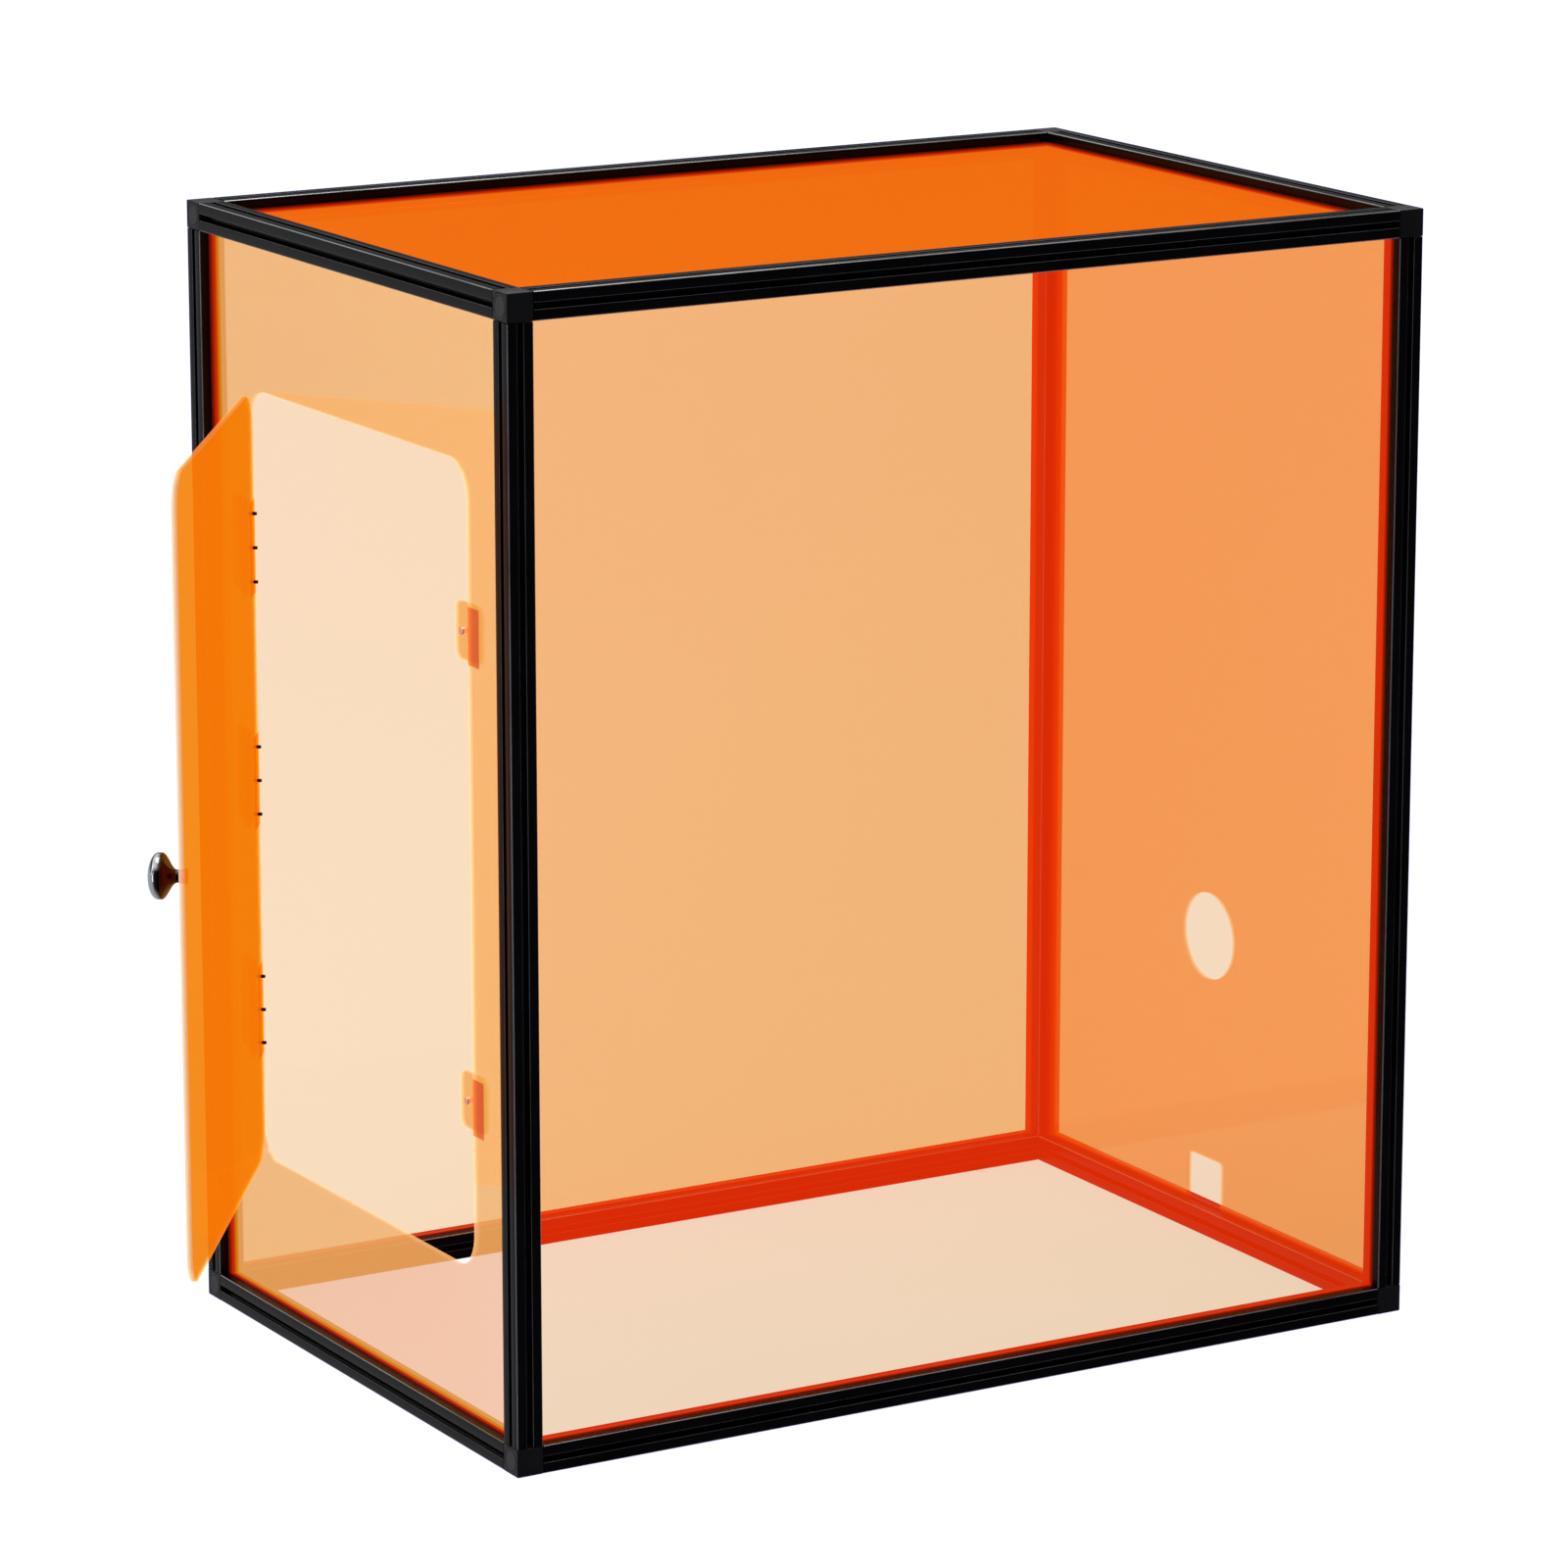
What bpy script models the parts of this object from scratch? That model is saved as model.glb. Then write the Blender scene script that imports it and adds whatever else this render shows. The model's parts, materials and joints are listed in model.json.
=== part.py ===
"""Bench-top machine enclosure: a black slotted-profile frame with translucent orange acrylic panels.

The front faces -Y, the hinged door is in the -X side, the duct hole in the +X side, and +Z is up.
The object stands on z = 0 with its middle over the origin. It is at rest with the door part open.
"""

import math

import bmesh
import bpy
from mathutils import Matrix, Vector

MM = 0.001

# Case and frame
CASE_WIDTH = 550 * MM
CASE_DEPTH = 360 * MM
CASE_HEIGHT = 610 * MM
PROFILE = 15 * MM
PROFILE_EDGE = 0.7 * MM
FIT_GAP = 0.3 * MM
PANEL_THICKNESS = 3 * MM
SLOT_LIP = 1.4 * MM
SLOT_UNDERCUT = 1.3 * MM
CORE_WIDTH = 6.2 * MM
BORE_RADIUS = 1.6 * MM

# Corner blocks and their plugs
DOWEL_LENGTH = 10 * MM
DOWEL_CLEARANCE = 0.3 * MM
BLOCK_EDGE = 0.5 * MM
PLUG_MARGIN = 0.7 * MM
PLUG_HEAD = 1.5 * MM
PLUG_RIM = 1.3 * MM
PLUG_GROOVE = 0.4 * MM
PLUG_STEM_RADIUS = 3.5 * MM
PLUG_STEM = 3 * MM

# Door and its opening
STRIP_BESIDE_OPENING = 41 * MM
STRIP_ABOVE_OPENING = 78.5 * MM
OPENING_RADIUS = 20 * MM
DOOR_GAP = 1 * MM
DOOR_OPEN_AT_REST = 35.0

# Hinges
HINGE_HEIGHT = 51 * MM
HINGE_FROM_END = 84.5 * MM
HINGE_COUNT = 3
LEAF_WIDTH = 18 * MM
LEAF_THICKNESS = 1.5 * MM
KNUCKLE_RADIUS = 2.6 * MM
PIN_RADIUS = 1.2 * MM
PIN_CLEARANCE = 0.1 * MM
SCREW_PITCH = 18.5 * MM
SCREW_COUNT = 3
SCREW_FROM_AXIS = 8 * MM
SCREW_RADIUS = 1 * MM
SCREW_HEAD_RADIUS = 1.9 * MM
SCREW_HEAD = 1.2 * MM
SCREW_TAIL = 2.4 * MM
HOLE_CLEARANCE = 0.25 * MM

# Door stops
TAB_WIDTH = 27 * MM
TAB_OVER_OPENING = 20 * MM
TAB_HEIGHT = 30 * MM
TAB_RADIUS = 5 * MM
TAB_FROM_END = 88.5 * MM
MAGNET_FROM_EDGE = 8 * MM
MAGNET_RADIUS = 2 * MM
MAGNET_PROUD = 1 * MM

# Knob
KNOB_FROM_EDGE = 28 * MM
KNOB_RADIUS = 12 * MM
KNOB_HEIGHT = 20 * MM
KNOB_STEM_RADIUS = 3.4 * MM
KNOB_FOOT_RADIUS = 4.3 * MM
KNOB_WAIST_HEIGHT = 5.2 * MM
KNOB_RIM_HEIGHT = 13 * MM
KNOB_RIM = 1.6 * MM

# Openings in the +X panel
DUCT_RADIUS = 25 * MM
DUCT_HEIGHT = 173 * MM
NOTCH_WIDTH = 33 * MM
NOTCH_HEIGHT = 28 * MM
NOTCH_RADIUS = 3 * MM

# What follows from them
SLOT_MOUTH = PANEL_THICKNESS + 2 * FIT_GAP
SLOT_DEPTH = (PROFILE - CORE_WIDTH) / 2
PANEL_INSET = (PROFILE - PANEL_THICKNESS) / 2
PANEL_ENTRY = SLOT_DEPTH - 2 * FIT_GAP
DOWEL_RADIUS = BORE_RADIUS - DOWEL_CLEARANCE
PLUG_RADIUS = PROFILE / 2 - PLUG_MARGIN
OPENING_WIDTH = CASE_DEPTH - 2 * (PROFILE + STRIP_BESIDE_OPENING)
OPENING_HEIGHT = CASE_HEIGHT - 2 * (PROFILE + STRIP_ABOVE_OPENING)
HINGE_PITCH = (OPENING_HEIGHT - 2 * HINGE_FROM_END) / (HINGE_COUNT - 1)
TAB_PITCH = OPENING_HEIGHT - 2 * TAB_FROM_END
NOTCH_TOP = PROFILE + NOTCH_HEIGHT
HOLE_RADIUS = SCREW_RADIUS + HOLE_CLEARANCE
AXIS_STANDOFF = KNUCKLE_RADIUS + FIT_GAP
AXIS_X = -CASE_WIDTH / 2 + PANEL_INSET - AXIS_STANDOFF
AXIS_Y = (OPENING_WIDTH - DOOR_GAP) / 2
DOOR_WIDTH = OPENING_WIDTH - 2 * DOOR_GAP
DOOR_HEIGHT = OPENING_HEIGHT - 2 * DOOR_GAP
DOOR_RADIUS = OPENING_RADIUS - DOOR_GAP
MID_HEIGHT = CASE_HEIGHT / 2
# In the door's own frame the axis is the origin, the closed door runs to -Y and +X is inwards.
DOOR_FACE = AXIS_STANDOFF
DOOR_BACK = AXIS_STANDOFF + PANEL_THICKNESS
DOOR_FREE_EDGE = -DOOR_GAP / 2 - DOOR_WIDTH
KNOB_Y = DOOR_FREE_EDGE + KNOB_FROM_EDGE

ROUND_STEPS = 6
TURNED_STEPS = 24
SMALL_STEPS = 12


def clear_scene():
    for old in list(bpy.data.objects):
        bpy.data.objects.remove(old)


def material(name, colour, roughness, metallic=0.0, alpha=1.0):
    made = bpy.data.materials.new(name)
    made.use_nodes = True
    shader = made.node_tree.nodes["Principled BSDF"]
    shader.inputs["Base Color"].default_value = (*colour, 1.0)
    shader.inputs["Roughness"].default_value = roughness
    shader.inputs["Metallic"].default_value = metallic
    shader.inputs["Alpha"].default_value = alpha
    return made


def rounded(low, high, radius, corners=(True, True, True, True)):
    """A rectangle's outline, counter-clockwise from its lower left, with the chosen corners rounded."""
    (x0, y0), (x1, y1) = low, high
    places = ((x0, y0, 1, 1), (x1, y0, -1, 1), (x1, y1, -1, -1), (x0, y1, 1, -1))
    points = []
    for index, (x, y, in_x, in_y) in enumerate(places):
        if not corners[index]:
            points.append((x, y))
            continue
        start = math.pi * (1 + index / 2)
        for step in range(ROUND_STEPS + 1):
            angle = start + math.pi / 2 * step / ROUND_STEPS
            centre_x = x + in_x * radius
            centre_y = y + in_y * radius
            points.append((centre_x + radius * math.cos(angle), centre_y + radius * math.sin(angle)))
    return points


def circle(centre, radius, steps=TURNED_STEPS):
    turns = (2 * math.pi * step / steps for step in range(steps))
    return [(centre[0] + radius * math.cos(a), centre[1] + radius * math.sin(a)) for a in turns]


def new_object(name, mesh, finish, parent, smooth_over=None):
    made = bpy.data.objects.new(name, mesh)
    bpy.context.scene.collection.objects.link(made)
    made.parent = parent
    mesh.materials.clear()
    mesh.materials.append(finish)
    if smooth_over is not None:
        mesh.shade_smooth()
        mesh.set_sharp_from_angle(angle=math.radians(smooth_over))
    return made


def prism(loops, start, end, axes):
    """The mesh of a flat outline with holes, extruded. axes gives the outline's two axes and its normal."""
    mesh = bpy.data.meshes.new("prism")
    shape = bmesh.new()
    along = Vector(axes[2])
    for loop in loops:
        corners = []
        for u, v in loop:
            place = u * Vector(axes[0]) + v * Vector(axes[1]) + start * along
            corners.append(shape.verts.new(place))
        for index, corner in enumerate(corners):
            shape.edges.new((corners[index - 1], corner))
    filled = bmesh.ops.triangle_fill(shape, edges=shape.edges[:], use_beauty=True, use_dissolve=False)
    faces = [item for item in filled["geom"] if isinstance(item, bmesh.types.BMFace)]
    grown = bmesh.ops.extrude_face_region(shape, geom=faces, use_keep_orig=True)
    moved = [item for item in grown["geom"] if isinstance(item, bmesh.types.BMVert)]
    bmesh.ops.translate(shape, verts=moved, vec=(end - start) * along)
    bmesh.ops.recalc_face_normals(shape, faces=shape.faces[:])
    shape.to_mesh(mesh)
    shape.free()
    return mesh


def turned(profile, steps=TURNED_STEPS):
    """The mesh of a profile of (radius, height) points, both ends on the axis, turned about Z."""
    mesh = bpy.data.meshes.new("turned")
    shape = bmesh.new()
    rings = []
    for radius, height in profile:
        if radius == 0:
            rings.append([shape.verts.new((0, 0, height))])
            continue
        rings.append([shape.verts.new((x, y, height)) for x, y in circle((0, 0), radius, steps)])
    for lower, upper in zip(rings, rings[1:]):
        for index in range(steps):
            ends = [lower[index % len(lower)], lower[(index + 1) % len(lower)]]
            ends += [upper[(index + 1) % len(upper)], upper[index % len(upper)]]
            shape.faces.new(list(dict.fromkeys(ends)))
    bmesh.ops.recalc_face_normals(shape, faces=shape.faces[:])
    shape.to_mesh(mesh)
    shape.free()
    return mesh


def combined(base, others, operation):
    """The base mesh with the others joined to it or cut from it, one after the other."""
    carrier = bpy.data.objects.new("carrier", base)
    bpy.context.scene.collection.objects.link(carrier)
    helpers = []
    for mesh in others:
        helper = bpy.data.objects.new("helper", mesh)
        bpy.context.scene.collection.objects.link(helper)
        helper.hide_render = True
        helper.display_type = "WIRE"
        step = carrier.modifiers.new(operation.lower(), "BOOLEAN")
        step.operation = operation
        step.solver = "EXACT"
        step.object = helper
        helpers.append(helper)
    graph = bpy.context.evaluated_depsgraph_get()
    result = bpy.data.meshes.new_from_object(carrier.evaluated_get(graph))
    for used in [carrier, *helpers]:
        bpy.data.objects.remove(used)
    return result


def placed(mesh, place=(0, 0, 0), towards=(0, 0, 1)):
    """The mesh with its Z axis turned towards a direction, then moved to a place."""
    turn = Vector((0, 0, 1)).rotation_difference(Vector(towards)).to_matrix().to_4x4()
    mesh.transform(Matrix.Translation(Vector(place)) @ turn)
    return mesh


def slotted_section():
    """The profile's outline: a square with one undercut slot in the middle of each face, and a bore."""
    half = PROFILE / 2
    mouth = SLOT_MOUTH / 2
    pocket = mouth + SLOT_UNDERCUT
    floor = half - SLOT_DEPTH
    lip = half - SLOT_LIP
    face = [(half, -half + PROFILE_EDGE), (half, -mouth), (lip, -mouth), (lip, -pocket)]
    face += [(floor + SLOT_UNDERCUT, -pocket), (floor, -mouth)]
    face += [(x, -y) for x, y in reversed(face)]
    outline = []
    for turn in range(4):
        cos, sin = round(math.cos(turn * math.pi / 2)), round(math.sin(turn * math.pi / 2))
        outline += [(x * cos - y * sin, x * sin + y * cos) for x, y in face]
    return [outline, circle((0, 0), BORE_RADIUS, SMALL_STEPS)]


def profile_bar(name, length, along, place, finish, parent):
    """One length of profile, centred on its place and running along the axis X, Y or Z."""
    frames = {"X": ((0, 1, 0), (0, 0, 1), (1, 0, 0)), "Y": ((0, 0, 1), (1, 0, 0), (0, 1, 0))}
    axes = frames.get(along, ((1, 0, 0), (0, 1, 0), (0, 0, 1)))
    bar = new_object(name, prism(slotted_section(), -length / 2, length / 2, axes), finish, parent)
    bar.location = place
    return bar


def build_frame(finish, parent):
    """Four posts and eight rails, each stopping a fit gap short of the corner blocks."""
    edge_x = (CASE_WIDTH - PROFILE) / 2
    edge_y = (CASE_DEPTH - PROFILE) / 2
    shortening = 2 * (PROFILE + FIT_GAP)
    levels = {"bottom": PROFILE / 2, "top": CASE_HEIGHT - PROFILE / 2}
    for depth_name, y in (("front", -edge_y), ("back", edge_y)):
        for side_name, x in (("door_side", -edge_x), ("duct_side", edge_x)):
            name = f"post_{depth_name}_{side_name}"
            profile_bar(name, CASE_HEIGHT - shortening, "Z", (x, y, MID_HEIGHT), finish, parent)
        for level_name, z in levels.items():
            name = f"rail_{level_name}_{depth_name}"
            profile_bar(name, CASE_WIDTH - shortening, "X", (0, y, z), finish, parent)
    for side_name, x in (("door_side", -edge_x), ("duct_side", edge_x)):
        for level_name, z in levels.items():
            name = f"rail_{level_name}_{side_name}"
            profile_bar(name, CASE_DEPTH - shortening, "Y", (x, 0, z), finish, parent)


def plug_profile():
    """Half the plug's section from its stem's end to its face, with a ring groove in the face."""
    groove = PLUG_RADIUS - PLUG_RIM
    return [
        (0, -PLUG_HEAD - PLUG_STEM),
        (PLUG_STEM_RADIUS, -PLUG_HEAD - PLUG_STEM),
        (PLUG_STEM_RADIUS, -PLUG_HEAD),
        (PLUG_RADIUS, -PLUG_HEAD),
        (PLUG_RADIUS, 0),
        (groove + PLUG_GROOVE, 0),
        (groove, -PLUG_GROOVE),
        (groove - PLUG_GROOVE, 0),
        (0, 0),
    ]


def block_mesh(side, depth, level):
    """A corner block around its own middle: a bevelled cube, its plug's seat, and three dowels."""
    base = bpy.data.meshes.new("block")
    shape = bmesh.new()
    bmesh.ops.create_cube(shape, size=PROFILE)
    bmesh.ops.bevel(shape, geom=shape.edges[:], offset=BLOCK_EDGE, segments=1, affect="EDGES")
    shape.to_mesh(base)
    shape.free()
    seat = [
        (0, FIT_GAP),
        (PLUG_RADIUS + FIT_GAP, FIT_GAP),
        (PLUG_RADIUS + FIT_GAP, -PLUG_HEAD - FIT_GAP),
        (PLUG_STEM_RADIUS + FIT_GAP, -PLUG_HEAD - FIT_GAP),
        (PLUG_STEM_RADIUS + FIT_GAP, -PLUG_HEAD - PLUG_STEM - FIT_GAP),
        (0, -PLUG_HEAD - PLUG_STEM - FIT_GAP),
    ]
    cut = combined(base, [placed(turned(seat), (side * PROFILE / 2, 0, 0), (side, 0, 0))], "DIFFERENCE")
    dowels = []
    for towards in ((-side, 0, 0), (0, -depth, 0), (0, 0, -level)):
        start = PROFILE / 2 - BLOCK_EDGE * 2
        end = PROFILE / 2 + DOWEL_LENGTH
        bar = turned([(0, start), (DOWEL_RADIUS, start), (DOWEL_RADIUS, end), (0, end)], SMALL_STEPS)
        dowels.append(placed(bar, towards=towards))
    return combined(cut, dowels, "UNION")


def build_corners(block_finish, plug_finish, parent):
    for level_name, level in (("bottom", -1), ("top", 1)):
        for depth_name, depth in (("front", -1), ("back", 1)):
            for side_name, side in (("door_side", -1), ("duct_side", 1)):
                where = f"{level_name}_{depth_name}_{side_name}"
                block = new_object(f"corner_{where}", block_mesh(side, depth, level), block_finish, parent)
                x = side * (CASE_WIDTH - PROFILE) / 2
                y = depth * (CASE_DEPTH - PROFILE) / 2
                z = MID_HEIGHT + level * (CASE_HEIGHT - PROFILE) / 2
                block.location = (x, y, z)
                plug_mesh = placed(turned(plug_profile()), towards=(side, 0, 0))
                plug = new_object(f"plug_{where}", plug_mesh, plug_finish, parent, 40)
                plug.location = (side * CASE_WIDTH / 2, y, z)


def panel_outline(width, height, cutouts=()):
    """A panel as it stands in the slots, around its middle, with corners cut clear of the blocks."""
    reach_x = width / 2 - PROFILE + PANEL_ENTRY
    reach_y = height / 2 - PROFILE + PANEL_ENTRY
    inner_x = width / 2 - PROFILE - FIT_GAP
    inner_y = height / 2 - PROFILE - FIT_GAP
    quarter = [(inner_x, reach_y), (inner_x, inner_y), (reach_x, inner_y)]
    outline = [(x, -y) for x, y in quarter]
    outline += list(reversed(quarter))
    outline += [(-x, y) for x, y in quarter]
    outline += [(-x, -y) for x, y in reversed(quarter)]
    return [outline, *cutouts]


def sheet(loops, axes):
    """An outline with holes as a sheet of the panels' thickness, half of it on each side of the outline."""
    return prism(loops, -PANEL_THICKNESS / 2, PANEL_THICKNESS / 2, axes)


def build_panels(finish, parent):
    """Five sheets in the middle slots. A sheet's mesh is around the case's own middle planes."""
    side_axes = ((0, 1, 0), (0, 0, 1), (1, 0, 0))
    front_axes = ((1, 0, 0), (0, 0, 1), (0, 1, 0))
    top_axes = ((1, 0, 0), (0, 1, 0), (0, 0, 1))
    for name, face in (("panel_front", -1), ("panel_back", 1)):
        panel = new_object(name, sheet(panel_outline(CASE_WIDTH, CASE_HEIGHT), front_axes), finish, parent)
        panel.location = (0, face * (CASE_DEPTH - PROFILE) / 2, MID_HEIGHT)
    top = new_object("panel_top", sheet(panel_outline(CASE_WIDTH, CASE_DEPTH), top_axes), finish, parent)
    top.location = (0, 0, CASE_HEIGHT - PROFILE / 2)

    half_width, half_height = OPENING_WIDTH / 2, OPENING_HEIGHT / 2
    doorway = rounded((-half_width, -half_height), (half_width, half_height), OPENING_RADIUS)
    mesh = sheet(panel_outline(CASE_DEPTH, CASE_HEIGHT, [doorway]), side_axes)
    door_side = new_object("panel_door_side", mesh, finish, parent, 30)
    door_side.location = (-(CASE_WIDTH - PROFILE) / 2, 0, MID_HEIGHT)

    duct = circle((0, DUCT_HEIGHT - MID_HEIGHT), DUCT_RADIUS, 48)
    mesh = sheet(panel_outline(CASE_DEPTH, CASE_HEIGHT, [duct]), side_axes)
    low = (-NOTCH_WIDTH / 2, -MID_HEIGHT)
    high = (NOTCH_WIDTH / 2, NOTCH_TOP - MID_HEIGHT)
    notch_outline = rounded(low, high, NOTCH_RADIUS, (False, False, True, True))
    notch = prism([notch_outline], -PANEL_THICKNESS, PANEL_THICKNESS, side_axes)
    duct_side = new_object("panel_duct_side", combined(mesh, [notch], "DIFFERENCE"), finish, parent, 30)
    duct_side.location = ((CASE_WIDTH - PROFILE) / 2, 0, MID_HEIGHT)


def build_stops(tab_finish, magnet_finish, parent):
    """Two tabs on the inner face of the door side, at the opening's front edge, each with a magnet."""
    face_x = -CASE_WIDTH / 2 + PROFILE - PANEL_INSET + FIT_GAP
    free_edge = -OPENING_WIDTH / 2 + TAB_OVER_OPENING
    magnet_y = free_edge - MAGNET_FROM_EDGE
    for name, side in (("lower", -1), ("upper", 1)):
        z = MID_HEIGHT + side * TAB_PITCH / 2
        outline = rounded((free_edge - TAB_WIDTH, -TAB_HEIGHT / 2), (free_edge, TAB_HEIGHT / 2), TAB_RADIUS)
        seat = circle((magnet_y, 0), MAGNET_RADIUS + HOLE_CLEARANCE)
        mesh = prism([outline, seat], 0, PANEL_THICKNESS, ((0, 1, 0), (0, 0, 1), (1, 0, 0)))
        tab = new_object(f"stop_tab_{name}", mesh, tab_finish, parent, 30)
        tab.location = (face_x, 0, z)
        disc = [(0, -MAGNET_PROUD), (MAGNET_RADIUS, -MAGNET_PROUD), (MAGNET_RADIUS, PANEL_THICKNESS)]
        disc.append((0, PANEL_THICKNESS))
        disc_mesh = placed(turned(disc), towards=(1, 0, 0))
        magnet = new_object(f"stop_magnet_{name}", disc_mesh, magnet_finish, parent, 40)
        magnet.location = (face_x, magnet_y, z)


def screw_heights():
    """Each hinge screw's height from its hinge's middle."""
    return [SCREW_PITCH * (index - (SCREW_COUNT - 1) / 2) for index in range(SCREW_COUNT)]


def screw_holes(across, height):
    """The outlines of one hinge's screw holes, around a height."""
    return [circle((across, height + step), HOLE_RADIUS, SMALL_STEPS) for step in screw_heights()]


def knuckle_mesh(low, high, side):
    """One barrel with its bore and its web. side is +1 for the fixed leaf and -1 for the door's."""
    inner, outer = AXIS_STANDOFF - FIT_GAP - LEAF_THICKNESS, AXIS_STANDOFF - FIT_GAP
    web_end = side * (KNUCKLE_RADIUS + 4 * FIT_GAP)
    first = math.atan2(side * math.sqrt(KNUCKLE_RADIUS**2 - inner**2), inner)
    sweep = 2 * math.pi - abs(first)
    outline = []
    for step in range(TURNED_STEPS + 1):
        angle = first + side * sweep * step / TURNED_STEPS
        outline.append((KNUCKLE_RADIUS * math.cos(angle), KNUCKLE_RADIUS * math.sin(angle)))
    outline += [(outer, web_end), (inner, web_end)]
    bore = circle((0, 0), PIN_RADIUS + PIN_CLEARANCE)
    return prism([outline, bore], low, high, ((1, 0, 0), (0, 1, 0), (0, 0, 1)))


def leaf_mesh(side, spans, drilled):
    """A hinge leaf around the hinge's middle on the axis: a plate with knuckles over the given spans."""
    inner, outer = AXIS_STANDOFF - FIT_GAP - LEAF_THICKNESS, AXIS_STANDOFF - FIT_GAP
    start = KNUCKLE_RADIUS + 2 * FIT_GAP
    low, high = sorted((side * start, side * LEAF_WIDTH))
    square = (side < 0, side > 0, side > 0, side < 0)
    plate = rounded((low, -HINGE_HEIGHT / 2), (high, HINGE_HEIGHT / 2), 2 * LEAF_THICKNESS, square)
    holes = []
    if drilled:
        holes = screw_holes(side * SCREW_FROM_AXIS, 0)
    base = prism([plate, *holes], inner, outer, ((0, 1, 0), (0, 0, 1), (1, 0, 0)))
    return combined(base, [knuckle_mesh(low, high, side) for low, high in spans], "UNION")


def hinge_screw_mesh():
    """A pan-head screw, its shank along +Z from the head's seat, with a chamfered tail."""
    tip = FIT_GAP + LEAF_THICKNESS + FIT_GAP + PANEL_THICKNESS + SCREW_TAIL
    chamfer = SCREW_RADIUS / 4
    crown = SCREW_HEAD_RADIUS * 0.6
    profile = [(0, -SCREW_HEAD), (crown, -SCREW_HEAD), (SCREW_HEAD_RADIUS, -SCREW_HEAD / 2)]
    profile += [(SCREW_HEAD_RADIUS, 0), (SCREW_RADIUS, 0), (SCREW_RADIUS, tip - chamfer)]
    profile += [(SCREW_RADIUS - chamfer, tip), (0, tip)]
    return turned(profile, SMALL_STEPS)


def build_hinges(leaf_finish, pin_finish, screw_finish, axis, door):
    """Three hinges: the fixed leaf and the pin stay with the case, the other leaf goes with the door."""
    third = HINGE_HEIGHT / 3
    top_span = (third / 2 + FIT_GAP / 2, HINGE_HEIGHT / 2)
    bottom_span = (-top_span[1], -top_span[0])
    middle_span = (-third / 2 + FIT_GAP / 2, third / 2 - FIT_GAP / 2)
    pin_end = HINGE_HEIGHT / 2
    pin_profile = [(0, -pin_end), (PIN_RADIUS, -pin_end), (PIN_RADIUS, pin_end), (0, pin_end)]
    head_x = AXIS_STANDOFF - FIT_GAP - LEAF_THICKNESS - FIT_GAP
    for index in range(HINGE_COUNT):
        z = MID_HEIGHT + HINGE_PITCH * (index - (HINGE_COUNT - 1) / 2)
        name = ("lower", "middle", "upper")[index]
        fixed_mesh = leaf_mesh(1, [bottom_span, top_span], False)
        fixed = new_object(f"hinge_{name}_fixed_leaf", fixed_mesh, leaf_finish, axis, 30)
        moving_mesh = leaf_mesh(-1, [middle_span], True)
        moving = new_object(f"hinge_{name}_door_leaf", moving_mesh, leaf_finish, door, 30)
        pin = new_object(f"hinge_{name}_pin", turned(pin_profile), pin_finish, axis, 40)
        for piece in (fixed, moving, pin):
            piece.location.z = z
        for number, height in enumerate(screw_heights()):
            screw_mesh = placed(hinge_screw_mesh(), towards=(1, 0, 0))
            screw = new_object(f"hinge_{name}_screw_{number + 1}", screw_mesh, screw_finish, door, 40)
            screw.location = (head_x, -SCREW_FROM_AXIS, z + height)


def build_door(finish, door):
    """The door sheet, cut through for the hinge screws."""
    low = (DOOR_FREE_EDGE, MID_HEIGHT - DOOR_HEIGHT / 2)
    high = (-DOOR_GAP / 2, MID_HEIGHT + DOOR_HEIGHT / 2)
    loops = [rounded(low, high, DOOR_RADIUS)]
    for index in range(HINGE_COUNT):
        z = MID_HEIGHT + HINGE_PITCH * (index - (HINGE_COUNT - 1) / 2)
        loops += screw_holes(-SCREW_FROM_AXIS, z)
    mesh = prism(loops, DOOR_FACE, DOOR_BACK, ((0, 1, 0), (0, 0, 1), (1, 0, 0)))
    new_object("door", mesh, finish, door, 30)


def knob_profile():
    """Half the knob's outside from its foot up: a waisted stem that flares into a domed head."""
    points = [(0, 0), (KNOB_FOOT_RADIUS, 0), (KNOB_STEM_RADIUS, KNOB_WAIST_HEIGHT)]
    for step in range(1, ROUND_STEPS + 1):
        share = step / ROUND_STEPS
        flare = (KNOB_RADIUS - KNOB_STEM_RADIUS) * math.sin(share * math.pi / 2) ** 2
        height = KNOB_WAIST_HEIGHT + (KNOB_RIM_HEIGHT - KNOB_WAIST_HEIGHT) * share
        points.append((KNOB_STEM_RADIUS + flare, height))
    shoulder = KNOB_RIM_HEIGHT + KNOB_RIM
    for step in range(ROUND_STEPS):
        angle = math.pi / 2 * step / ROUND_STEPS
        height = shoulder + (KNOB_HEIGHT - shoulder) * math.sin(angle)
        points.append((KNOB_RADIUS * math.cos(angle), height))
    points.append((0, KNOB_HEIGHT))
    return points


def build_knob(finish, door):
    """A turned knob bonded by its foot to the door's outer face."""
    knob = new_object("knob", placed(turned(knob_profile()), towards=(-1, 0, 0)), finish, door, 40)
    knob.location = (DOOR_FACE - FIT_GAP, KNOB_Y, MID_HEIGHT)


def reach_to_door_side():
    """How far the open knob stands out past the case's outer plane."""
    angle = math.radians(DOOR_OPEN_AT_REST)
    base = Vector((DOOR_FACE - FIT_GAP, KNOB_Y))
    furthest = 0.0
    for radius, height in knob_profile():
        x = (base.x - height) * math.cos(angle) + (base.y - radius) * math.sin(angle)
        furthest = max(furthest, -x)
    return furthest - (AXIS_X + CASE_WIDTH / 2)


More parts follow.
